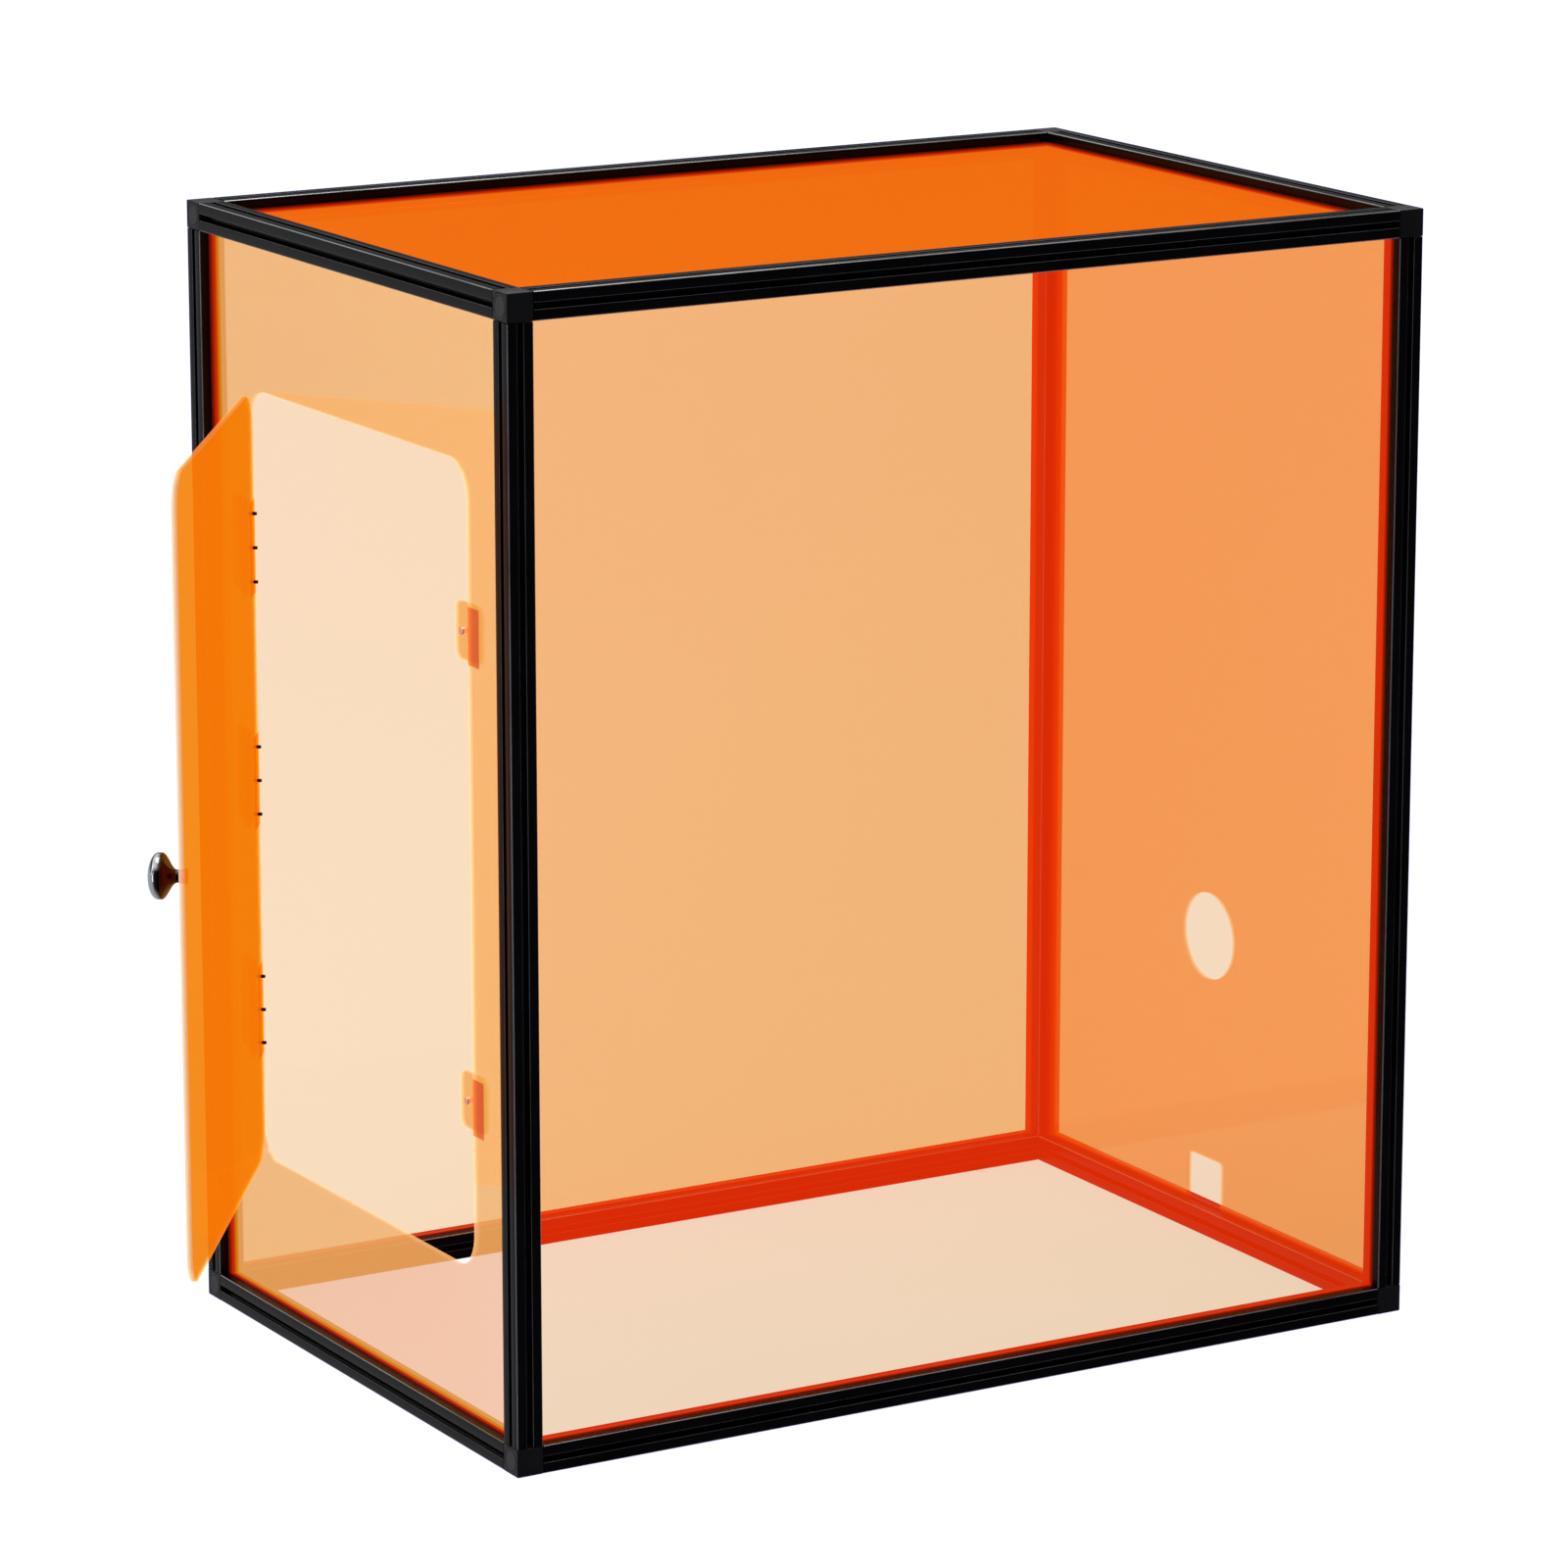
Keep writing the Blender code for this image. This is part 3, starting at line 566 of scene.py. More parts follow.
def metal(name, dark, light, roughness, grain_scale=(400, 400, 400), coat=0.0, bright=None):
    """A plated or oiled metal. A second, brighter plating can lie where the attribute "plated" is 1."""
    finish = Finish(name)
    scratches = finish.noise(finish.place(grain_scale), 1.0, 4.0, 0.65)
    blotch = finish.noise(finish.place(), 120.0)
    colour = finish.between(blotch, dark, light)
    if bright:
        plated = finish.number("ShaderNodeAttribute", "Fac", None, {"attribute_name": "plated"})
        colour = finish.between(plated, colour, bright)
    return finish.principled(
        Base_Color=colour, Metallic=1.0,
        Roughness=(scratches * 0.5 + 0.75) * roughness, Coat_Weight=coat, Coat_Roughness=0.03,
        Normal=finish.bump(scratches, 0.00001, 0.3))


profile_finish = anodised()
block_finish = grained_black("cast_black", [(0.0035, 0.0035, 0.0038), (0.008, 0.008, 0.0084)],
                             (2600.0, 3.0, 0.6), 60.0, 0.36, 0.3, (0.00004, 0.5))
plug_finish = grained_black("moulded_plug", [(0.010, 0.010, 0.0105), (0.019, 0.019, 0.0195)],
                            (3500.0, 2.0), 90.0, 0.42, 0.45, (0.00003, 0.4))
knob_finish = metal("polished_black_chrome", (0.020, 0.020, 0.022), (0.050, 0.051, 0.052), 0.06, coat=0.2,
                    bright=(0.52, 0.54, 0.53))
screw_finish = metal("black_oxide", (0.015, 0.015, 0.016), (0.03, 0.03, 0.031), 0.34)
pin_finish = metal("drawn_steel", (0.45, 0.45, 0.46), (0.6, 0.6, 0.61), 0.28, (900, 900, 20))
magnet_finish = metal("nickel_plate", (0.80, 0.78, 0.76), (0.88, 0.86, 0.83), 0.35)
print("black and metal finishes mixed")

# %% [markdown]
# ## Outlines
#
# Most pieces here start as a flat outline, drawn with arcs: a ring, a rectangle with round corners, or any
# outline with its corners softened. A machined edge is never perfectly sharp, and its small radius is what
# catches the light. Other helpers run one modifier on a mesh, and make a finished piece ride on its body.

# %% Helpers for outlines and pieces
def arc(centre, radius, first, sweep, steps):
    """Points along an arc, with both of its ends."""
    turns = [first + sweep * step / steps for step in range(steps + 1)]
    return [(centre[0] + radius * math.cos(turn), centre[1] + radius * math.sin(turn)) for turn in turns]


def ring(centre, radius, steps):
    return arc(centre, radius, 0, 2 * math.pi, steps)[:-1]


def rounded(low, high, radius, steps=14):
    """A rectangle's outline with round corners, counter-clockwise from its lower left."""
    (left, bottom), (right, top) = low, high
    left, bottom, right, top = left + radius, bottom + radius, right - radius, top - radius
    points = []
    for index, centre in enumerate(((left, bottom), (right, bottom), (right, top), (left, top))):
        points += arc(centre, radius, math.pi + index * QUARTER, QUARTER, steps)
    return points


def softened(outline, radii, steps):
    """An outline with each corner replaced by an arc of that corner's radius."""
    points = []
    for index, (corner, radius) in enumerate(zip(outline, radii)):
        if radius == 0:
            points.append(corner)
            continue
        here = Vector(corner)
        before = (Vector(outline[index - 1]) - here).normalized()
        after = (Vector(outline[(index + 1) % len(outline)]) - here).normalized()
        half_angle = before.angle(after) / 2
        reach = radius / math.tan(half_angle)
        centre = here + (before + after).normalized() * radius / math.sin(half_angle)
        start, end = here + before * reach - centre, here + after * reach - centre
        first = math.atan2(start.y, start.x)
        sweep = math.remainder(math.atan2(end.y, end.x) - first, 2 * math.pi)
        points += arc(centre, radius, first, sweep, steps)
    return points


def mesh_of(shape, name):
    """The mesh of a finished bmesh, which is freed."""
    mesh = bpy.data.meshes.new(name)
    shape.to_mesh(mesh)
    shape.free()
    return mesh


def modified(mesh, kind, settings, inputs=None):
    """The plain mesh that one modifier makes from a mesh."""
    carrier = linked("carrier", mesh)
    step = carrier.modifiers.new("step", kind)
    for name, setting in settings.items():
        setattr(step, name, setting)
    for identifier, value in (inputs or {}).items():
        step[identifier] = value
    graph = bpy.context.evaluated_depsgraph_get()
    result = bpy.data.meshes.new_from_object(carrier.evaluated_get(graph), depsgraph=graph)
    carrier.modifiers.clear()
    bpy.data.objects.remove(carrier)
    return result


def finished_object(name, mesh, body, finish, smooth_over, stands_for):
    """A piece with its place in its mesh, riding on a body. It stands for the nodes that are named."""
    piece = linked(name, mesh)
    mesh.materials.clear()
    mesh.materials.append(finish)
    mesh.shade_smooth()
    mesh.set_sharp_from_angle(angle=math.radians(smooth_over))
    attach(piece, body)
    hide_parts(*stands_for)
    print(f"{name}: {sum(len(face.vertices) - 2 for face in mesh.polygons)} triangles")


# %% [markdown]
# ## The slotted frame
#
# Twelve lengths of one extrusion make the frame. The extrusion is a square tube with an undercut slot in
# each face and a bore along its middle. Its section is drawn once. A geometry tree fills the section,
# extrudes it, and sets it out at four places along each of the three directions, so one tree makes the
# whole frame from the case's sizes. Each bar keeps its own coordinates in an attribute, so that the drawing
# marks run along every bar.

# %% Draw the section
SECTION_STEPS = 4


def slotted_section():
    """The outline of the bar, one side repeated at quarter turns, and the bore."""
    half = PROFILE / 2
    mouth = SLOT_MOUTH / 2
    pocket = mouth + SLOT_UNDERCUT
    lip = half - SLOT_LIP
    slot_floor = half - SLOT_DEPTH
    side = [(half, -half), (half, -mouth), (lip, -mouth), (lip, -pocket)]
    side += [(slot_floor + SLOT_UNDERCUT, -pocket), (slot_floor, -mouth)]
    side += [(x, -y) for x, y in reversed(side[1:])]
    side_radii = [OUTER_RADIUS, LIP_RADIUS, INNER_RADIUS, 0, 0, 0, 0, 0, 0, INNER_RADIUS, LIP_RADIUS]
    outline = []
    for cos, sin in ((1, 0), (0, 1), (-1, 0), (0, -1)):
        outline += [(x * cos - y * sin, x * sin + y * cos) for x, y in side]
    return [softened(outline, side_radii * 4, SECTION_STEPS), ring((0, 0), BORE_RADIUS, 16)]


def outline_mesh(name, loops):
    points, edges = [], []
    for loop in loops:
        first = len(points)
        points += [(x, y, 0) for x, y in loop]
        edges += [(first + index, first + (index + 1) % len(loop)) for index in range(len(loop))]
    mesh = bpy.data.meshes.new(name)
    mesh.from_pydata(points, edges, [])
    return mesh


section_mesh = outline_mesh("section", slotted_section())
print("section has", len(section_mesh.vertices), "points")

# %% Helpers for geometry trees
class Pattern(Tree):
    """A geometry tree with named inputs, run once on a mesh."""

    def __init__(self, name, **inputs):
        kinds = {float: "NodeSocketFloat", bpy.types.Object: "NodeSocketObject",
                 bpy.types.Material: "NodeSocketMaterial"}
        super().__init__(bpy.data.node_groups.new(name, "GeometryNodeTree"))
        self.values = inputs
        face = self.tree.interface
        face.new_socket("Geometry", in_out="INPUT", socket_type="NodeSocketGeometry")
        for label, value in inputs.items():
            kind = next(kinds[known] for known in kinds if isinstance(value, known))
            face.new_socket(label, in_out="INPUT", socket_type=kind)
        face.new_socket("Geometry", in_out="OUTPUT", socket_type="NodeSocketGeometry")
        self.input = self.add("NodeGroupInput").outputs

    def value(self, label):
        return Number(self, self.input[label])

    def chain(self, geometry, kind, settings=None, **sockets):
        """A geometry node that takes one geometry or several, and its other inputs by name."""
        node = self.add(f"GeometryNode{kind}", spaced(sockets), settings)
        for source in geometry if isinstance(geometry, list) else [geometry]:
            self.tree.links.new(source, node.inputs[0])
        return node.outputs[0]

    def vector(self, x, y, z):
        return self.out("ShaderNodeCombineXYZ", {0: x, 1: y, 2: z})

    def run(self, geometry, carrier_mesh):
        """Ends the tree in Realize Instances and Set Material, and returns the plain mesh that it makes."""
        real = self.chain(geometry, "RealizeInstances")
        dressed = self.chain(real, "SetMaterial", Material=self.input["finish"])
        self.add("NodeGroupOutput", {0: dressed})
        inputs = {item.identifier: self.values[item.name] for item in self.tree.interface.items_tree
                  if item.in_out == "INPUT" and item.name in self.values}
        mesh = modified(carrier_mesh, "NODES", {"node_group": self.tree}, inputs)
        mesh.polygons.foreach_set("material_index", [0] * len(mesh.polygons))
        return mesh


# %% Build the frame
MERGE_DISTANCE = 0.01 * MM
tree = Pattern(
    "slotted_frame", case_width=CASE_SIZE.x, case_depth=CASE_SIZE.y, case_height=CASE_SIZE.z,
    profile=PROFILE, fit_gap=FIT_GAP, finish=profile_finish)
wide, deep, high = (tree.value(label) for label in ("case_width", "case_depth", "case_height"))
profile_width = tree.value("profile")
shortening = (profile_width + tree.value("fit_gap")) * 2
curve = tree.chain(tree.input["Geometry"], "MeshToCurve")
filled = tree.chain(curve, "FillCurve")
grown = tree.chain(filled, "ExtrudeMesh", {"mode": "FACES"}, Offset_Scale=1.0, Individual=False)
under = tree.chain(filled, "FlipFaces")
whole = tree.chain([grown, under], "JoinGeometry")
whole = tree.chain(whole, "MergeByDistance", Distance=MERGE_DISTANCE)
unit_bar = tree.chain(whole, "Transform", Translation=(0, 0, -0.5))
position = tree.out("GeometryNodeInputPosition")
bars = []
for length, across, up, turn in (
    (high, wide, deep, (0, 0, 0)),
    (wide, high, deep, (0, QUARTER, 0)),
    (deep, wide, high, (QUARTER, 0, 0)),
):
    bar = tree.chain(unit_bar, "Transform", Scale=tree.vector(1.0, 1.0, length - shortening))
    bar = tree.chain(bar, "StoreNamedAttribute", {"data_type": "FLOAT_VECTOR"},
                     Name="bar_place", Value=position)
    sockets = {0: across - profile_width, 1: up - profile_width, 2: 2, 3: 2}
    grid = tree.out("GeometryNodeMeshGrid", sockets)
    four = tree.chain(grid, "InstanceOnPoints", Instance=bar)
    bars.append(tree.chain(four, "Transform", Rotation=turn))
frame_mesh = tree.run(tree.chain(bars, "JoinGeometry"), section_mesh)
frame_mesh.transform(Matrix.Translation(CASE_MIDDLE))
bar_names = [name for name in frame["nodes"] if name.startswith(("post", "rail"))]
finished_object("slotted_frame", frame_mesh, "case", profile_finish, 32, bar_names)

# %% [markdown]
# ## Corner blocks and plugs
#
# Each corner is a block as wide as the profile, held by dowels in the bores. A round plug closes the screw
# hole in its outer side face. One block and one plug are made first, and a second geometry tree sets out
# eight of each. All eight are turned copies and none is mirrored, so no face ends up inside out.

# %% Helpers for turned and bevelled pieces
def turned(profile, steps=64):
    """The mesh of a profile of (radius, height) points, both ends on the axis, turned about Z."""
    shape = bmesh.new()
    rings = []
    for radius, height_up in profile:
        flat = [(0, 0)] if radius == 0 else ring((0, 0), radius, steps)
        rings.append([shape.verts.new((x, y, height_up)) for x, y in flat])
    for lower, upper in zip(rings, rings[1:]):
        for index in range(steps):
            ends = [lower[index % len(lower)], lower[(index + 1) % len(lower)]]
            ends += [upper[(index + 1) % len(upper)], upper[index % len(upper)]]
            shape.faces.new(list(dict.fromkeys(ends)))
    bmesh.ops.recalc_face_normals(shape, faces=shape.faces[:])
    return mesh_of(shape, "turned")


def turned_towards(direction):
    return Vector((0, 0, 1)).rotation_difference(Vector(direction)).to_matrix().to_4x4()


def joined(meshes):
    """Several meshes in one, without cutting them where they meet."""
    shape = bmesh.new()
    for mesh in meshes:
        shape.from_mesh(mesh)
    return mesh_of(shape, "joined")


def cut_from(base, cutter):
    helper = linked("cutter", cutter)
    result = modified(base, "BOOLEAN", {"operation": "DIFFERENCE", "solver": "EXACT", "object": helper})
    bpy.data.objects.remove(helper)
    return result


# %% Make one block and one plug
BLOCK_EDGE = 0.55 * MM
PLUG_RADIUS = 6.8 * MM
PLUG_HEAD = 1.5 * MM
PLUG_GROOVE_RADIUS = 5.5 * MM
PLUG_GROOVE = 0.4 * MM
PLUG_STEM_RADIUS = 3.5 * MM
PLUG_STEM = 3.0 * MM
PLUG_EDGE = 0.2 * MM
PLUG_DISH = 0.05 * MM
DOWEL_RADIUS = 1.3 * MM
DOWEL_LENGTH = 10 * MM
DOWEL_EDGE = 0.2 * MM


def block_mesh():
    """The block whose corner points to -X -Y -Z, around its own middle."""
    shape = bmesh.new()
    bmesh.ops.create_cube(shape, size=PROFILE)
    bmesh.ops.bevel(shape, geom=shape.edges[:], offset=BLOCK_EDGE, segments=3, profile=0.5, affect="EDGES")
    wide, narrow = PLUG_RADIUS + FIT_GAP, PLUG_STEM_RADIUS + FIT_GAP
    shoulder, floor_level = -PLUG_HEAD - FIT_GAP, -PLUG_HEAD - PLUG_STEM - FIT_GAP
    seat = turned([(0, FIT_GAP), (wide, FIT_GAP), (wide, shoulder), (narrow, shoulder), (narrow, floor_level),
                   (0, floor_level)], 48)
    seat.transform(Matrix.Translation((-PROFILE / 2, 0, 0)) @ turned_towards((-1, 0, 0)))
    pieces = [cut_from(mesh_of(shape, "block"), seat)]
    start, end = PROFILE / 2 - BLOCK_EDGE, PROFILE / 2 + DOWEL_LENGTH
    for towards in (X, Y, Z):
        dowel = turned([(0, start), (DOWEL_RADIUS, start), (DOWEL_RADIUS, end - DOWEL_EDGE),
                        (DOWEL_RADIUS - DOWEL_EDGE, end), (0, end)], 16)
        dowel.transform(turned_towards(towards))
        pieces.append(dowel)
    return joined(pieces)


def plug_mesh():
    """The plug's face lies on z = 0 and looks along +Z."""
    edge, groove, half_floor = PLUG_EDGE, PLUG_GROOVE_RADIUS, PLUG_GROOVE * 0.4
    low = -PLUG_HEAD - PLUG_STEM
    return turned([
        (0, low), (PLUG_STEM_RADIUS - edge, low), (PLUG_STEM_RADIUS, low + edge),
        (PLUG_STEM_RADIUS, -PLUG_HEAD), (PLUG_RADIUS, -PLUG_HEAD), (PLUG_RADIUS, -edge),
        (PLUG_RADIUS - edge * 0.3, -edge * 0.3),
        (PLUG_RADIUS - edge, 0), (groove + PLUG_GROOVE, 0), (groove + half_floor, -PLUG_GROOVE),
        (groove - half_floor, -PLUG_GROOVE), (groove - PLUG_GROOVE, 0),
        (PLUG_STEM_RADIUS * 0.5, -PLUG_DISH), (0, -PLUG_DISH)])


def places_mesh(places):
    """Points to set copies out on, each with its turn as three angles."""
    mesh = bpy.data.meshes.new("places")
    mesh.from_pydata([place.to_translation() for place in places], [], [])
    turns = mesh.attributes.new("turn", "FLOAT_VECTOR", "POINT")
    for index, place in enumerate(places):
        turns.data[index].vector = place.to_euler()
    return mesh


def set_out(name, pattern_mesh, places, finish):
    """Copies of one mesh at several places, as a plain mesh."""
    pattern = linked(f"{name}_pattern", pattern_mesh)
    tree = Pattern(f"{name}_tree", piece=pattern, finish=finish)
    single = tree.add("GeometryNodeObjectInfo", {"Object": tree.input["piece"], "As Instance": True})
    turn = tree.out("GeometryNodeInputNamedAttribute", {"Name": "turn"}, {"data_type": "FLOAT_VECTOR"})
    rotation = tree.add("FunctionNodeEulerToRotation", {0: turn})
    copies = tree.chain(tree.input["Geometry"], "InstanceOnPoints",
                        Instance=single.outputs["Geometry"], Rotation=rotation.outputs[0])
    mesh = tree.run(copies, places_mesh(places))
    bpy.data.objects.remove(pattern)
    return mesh


# %% Set out the corners
corner_places, plug_places = [], []
corner_reach = (CASE_SIZE - Vector((PROFILE,) * 3)) / 2
for side in (-1, 1):
    for quarters, (depth_sign, level_sign) in enumerate(((-1, -1), (1, -1), (1, 1), (-1, 1))):
        signs = Vector((side, depth_sign, level_sign))
        middle = CASE_MIDDLE + signs * corner_reach
        turn = Matrix.Rotation(quarters * QUARTER, 4, "X")
        if side > 0:
            turn = Matrix.Rotation((quarters - 1) * QUARTER, 4, "X") @ Matrix.Rotation(math.pi, 4, "Z")
        corner_places.append(Matrix.Translation(middle) @ turn)
        face = middle + Vector((side * PROFILE / 2, 0, 0))
        plug_places.append(Matrix.Translation(face) @ turned_towards((side, 0, 0)))
for kind, node_start, pattern_mesh, places, finish in (
    ("block", "corner", block_mesh(), corner_places, block_finish),
    ("plug", "plug", plug_mesh(), plug_places, plug_finish),
):
    names = [name for name in frame["nodes"] if name.startswith(node_start)]
    mesh = set_out(f"corner_{kind}", pattern_mesh, places, finish)
    finished_object(f"corner_{kind}s", mesh, "case", finish, 35, names)

# %% [markdown]
# ## Acrylic sheets
#
# A sheet is a flat outline with holes, 3 mm thick, with edges that are cut square and then lightly rounded.
# It is built ring by ring: each outline is drawn a little smaller at the two faces than in the middle. The
# cut edges get an attribute of their own, which sets where painted light goes: an Emission makes a cut edge
# paler than its faces, standing in for the light that the sheet gathers to its edges.

# %% Helper for sheets
SHEET_EDGE = 0.3 * MM
SHEET_SMOOTH = 15
# Painted light on cut edges: how pale the edges of the doorway and the duct hole, and of the stop tabs, are.
HOLE_GLOW = 0.35
TAB_GLOW = 0.15
# How far up the rounded edge each ring is and how far in, as shares of the edge's radius.
EDGE_RINGS = ((0.0, 1.0), (0.3, 0.3), (1.0, 0.0))


def sheet_mesh(name, loops, thickness, place, glows):
    """A flat sheet. Each loop draws the outline or a hole, given how far it is pulled in, and each glow says
    how much painted light that loop's cut edge gets."""
    levels = [(share * SHEET_EDGE, inset * SHEET_EDGE) for share, inset in EDGE_RINGS]
    levels += [(thickness - up, inset) for up, inset in reversed(levels)]
    shape = bmesh.new()
    glow = shape.loops.layers.float.new("painted_edge_light")
    lowest, highest = [], []
    for loop, edge_glow in zip(loops, glows):
        stack = [[shape.verts.new((x, y, up)) for x, y in loop(inset)] for up, inset in levels]
        for lower, upper in zip(stack, stack[1:]):
            for index in range(len(lower)):
                following = (index + 1) % len(lower)
                face = shape.faces.new((lower[index], lower[following], upper[following], upper[index]))
                for corner in face.loops:
                    corner[glow] = edge_glow(corner.vert.co, corner.vert.co.z / thickness)
        lowest.append(stack[0])
        highest.append(stack[-1])
    for outlines in (lowest, highest):
        edges = [shape.edges.get((loop_ring[index - 1], corner))
                 for loop_ring in outlines for index, corner in enumerate(loop_ring)]
        bmesh.ops.triangle_fill(shape, edges=edges, use_beauty=True, use_dissolve=False)
    bmesh.ops.recalc_face_normals(shape, faces=shape.faces[:])
    shape.transform(place)
    return mesh_of(shape, name)


def plate(low, high, radius):
    """A rectangle with round corners. It shrinks as it is pulled in."""
    def draw(inset):
        return rounded((low[0] + inset, low[1] + inset), (high[0] - inset, high[1] - inset), radius - inset)
    return draw


def square_hole(low, high, radius):
    return lambda inset: plate(low, high, radius)(-inset)


def round_hole(centre, radius, steps):
    return lambda inset: ring(centre, radius + inset, steps)


def plain_glow(strength):
    return lambda point, share: strength


def facing(axis_u, axis_v, origin):
    """The place of a sheet whose outline runs along two axes from an origin."""
    u, v = Vector(axis_u), Vector(axis_v)
    turn = Matrix((u, v, u.cross(v))).transposed().to_4x4()
    return Matrix.Translation(origin) @ turn


# %% Cut the panels
PANEL_ENTRY = 3.8 * MM
BLOCK_CLEARANCE = PROFILE + FIT_GAP


def panel_outline(across, up):
    """A panel as it stands in the slots, around its middle, with corners cut clear of the blocks."""
    def draw(inset):
        reach_x, reach_y = (side / 2 - PROFILE + PANEL_ENTRY - inset for side in (across, up))
        inner_x, inner_y = (side / 2 - BLOCK_CLEARANCE - inset for side in (across, up))
        quarter = [(inner_x, reach_y), (inner_x, inner_y), (reach_x, inner_y)]
        outline = [(x, -y) for x, y in quarter] + quarter[::-1]
        return outline + [(-x, y) for x, y in quarter] + [(-x, -y) for x, y in quarter[::-1]]
    return draw


def panel(name, loops, place):
    glows = [plain_glow(0.0)] + [plain_glow(HOLE_GLOW)] * (len(loops) - 1)
    mesh = sheet_mesh(name, loops, PANEL_THICKNESS, place, glows)
    finished_object(f"{name}_sheet", mesh, "case", ACRYLICS[name], SHEET_SMOOTH, [name])


front_outline = panel_outline(CASE_SIZE.x, CASE_SIZE.z)
side_outline = panel_outline(CASE_SIZE.y, CASE_SIZE.z)
near_low = case_low + Vector((PANEL_INSET,) * 3)
near_high = case_high - Vector((PANEL_INSET,) * 3)
panel("panel_front", [front_outline],
      facing(X, Z, (CASE_MIDDLE.x, near_low.y + PANEL_THICKNESS, CASE_MIDDLE.z)))
panel("panel_back", [front_outline], facing(X, Z, (CASE_MIDDLE.x, near_high.y, CASE_MIDDLE.z)))
panel("panel_top", [panel_outline(CASE_SIZE.x, CASE_SIZE.y)],
      facing(X, Y, (CASE_MIDDLE.x, CASE_MIDDLE.y, near_high.z - PANEL_THICKNESS)))

# %% Cut the sheets with openings
STRIP_BESIDE_OPENING = 41 * MM
STRIP_ABOVE_OPENING = 78.5 * MM
OPENING_RADIUS = 20 * MM
DUCT_RADIUS = 25 * MM
DUCT_HEIGHT = 173 * MM
NOTCH_WIDTH = 33 * MM
NOTCH_HEIGHT = 28 * MM
NOTCH_RADIUS = 3 * MM
opening_half = Vector((CASE_SIZE.y / 2 - PROFILE - STRIP_BESIDE_OPENING,
                       CASE_SIZE.z / 2 - PROFILE - STRIP_ABOVE_OPENING))
doorway = square_hole(-opening_half, opening_half, OPENING_RADIUS)
panel("panel_door_side", [side_outline, doorway],
      facing(Y, Z, (near_low.x, CASE_MIDDLE.y, CASE_MIDDLE.z)))


def notched_outline(inset):
    """The duct side's outline, with the cable notch let into its lower edge."""
    bar_top = PROFILE - CASE_SIZE.z / 2
    low, top = bar_top - PANEL_ENTRY + inset, bar_top + NOTCH_HEIGHT + inset
    half, radius = NOTCH_WIDTH / 2 + inset, NOTCH_RADIUS + inset
    left = arc((-half + radius, top - radius), radius, math.pi, -QUARTER, 8)
    right = arc((half - radius, top - radius), radius, QUARTER, -QUARTER, 8)
    return side_outline(inset) + [(-half, low), *left, *right, (half, low)]


duct = round_hole((0, DUCT_HEIGHT - CASE_MIDDLE.z), DUCT_RADIUS, 96)
panel("panel_duct_side", [notched_outline, duct],
      facing(Y, Z, (near_high.x - PANEL_THICKNESS, CASE_MIDDLE.y, CASE_MIDDLE.z)))

# %% Cut the door
SCREW_HOLE_RADIUS = 1.25 * MM
DOOR_RADIUS = 19 * MM
screw_spots = []
for hinge in HINGES:
    for number in (1, 2, 3):
        low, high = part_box(f"hinge_{hinge}_screw_{number}")
        screw_spots.append((to_door @ ((low + high) / 2)).yz)


def free_edge_glow(point, share):
    """Painted highlight: pale along the edge that the knob is on, more so towards the outer face."""
    near = max(0.0, 1 - (point.x - DOOR_LOW.y) / DOOR_RADIUS)
    return 0.12 + near * (0.88 - 0.6 * share)


door_loops = [plate(DOOR_LOW.yz, DOOR_HIGH.yz, DOOR_RADIUS)]
door_loops += [round_hole(spot, SCREW_HOLE_RADIUS - SHEET_EDGE * 0.5, 20) for spot in screw_spots]
door_glows = [free_edge_glow] + [plain_glow(0.0)] * len(screw_spots)
door_sheet = sheet_mesh("door_sheet", door_loops, DOOR_HIGH.x - DOOR_LOW.x,
                        DOOR_PLACE @ facing(Y, Z, (DOOR_LOW.x, 0, 0)), door_glows)
finished_object("door_sheet", door_sheet, "door", ACRYLICS["door"], SHEET_SMOOTH,
                ["door"])

# %% Cut the stop tabs and turn their magnets
TAB_RADIUS = 5 * MM
MAGNET_SEAT = 2.25 * MM
MAGNET_EDGE = 0.3 * MM
for level in TABS:
    low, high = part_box(f"stop_tab_{level}")
    magnet_low, magnet_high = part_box(f"stop_magnet_{level}")
    seat = ((magnet_low + magnet_high) / 2).yz
    loops = [plate(low.yz, high.yz, TAB_RADIUS), round_hole(seat, MAGNET_SEAT - SHEET_EDGE * 0.5, 40)]
    place = facing(Y, Z, (low.x, 0, 0))
    mesh = sheet_mesh(f"tab_{level}", loops, high.x - low.x, place, [plain_glow(TAB_GLOW)] * 2)
    finished_object(f"tab_{level}", mesh, "case", ACRYLICS["stop_tab"], SHEET_SMOOTH,
                    [f"stop_tab_{level}"])
    radius, length = (magnet_high.y - magnet_low.y) / 2, magnet_high.x - magnet_low.x
    foot = [(radius - MAGNET_EDGE, 0), (radius - MAGNET_EDGE * 0.3, MAGNET_EDGE * 0.3), (radius, MAGNET_EDGE)]
    disc = turned([(0, 0), *foot, *((x, length - up) for x, up in reversed(foot)), (0, length)], 48)
    disc.transform(Matrix.Translation((magnet_low.x, *seat)) @ turned_towards(X))
    finished_object(f"magnet_{level}", disc, "case", magnet_finish, 25, [f"stop_magnet_{level}"])

# %% [markdown]
# ## Hinges, screws and knob
#
# The hinge leaves are small and already have their true shape in the solid model, so each is welded from it
# and given rounded edges with a Bevel modifier. The nine screws are alike, so they come from a geometry
# tree. The knob is turned on a lathe in real life, and here too: one smooth profile spun round its axis.

# %% Round the hinge leaves and pins
WELD_DISTANCE = 0.001 * MM


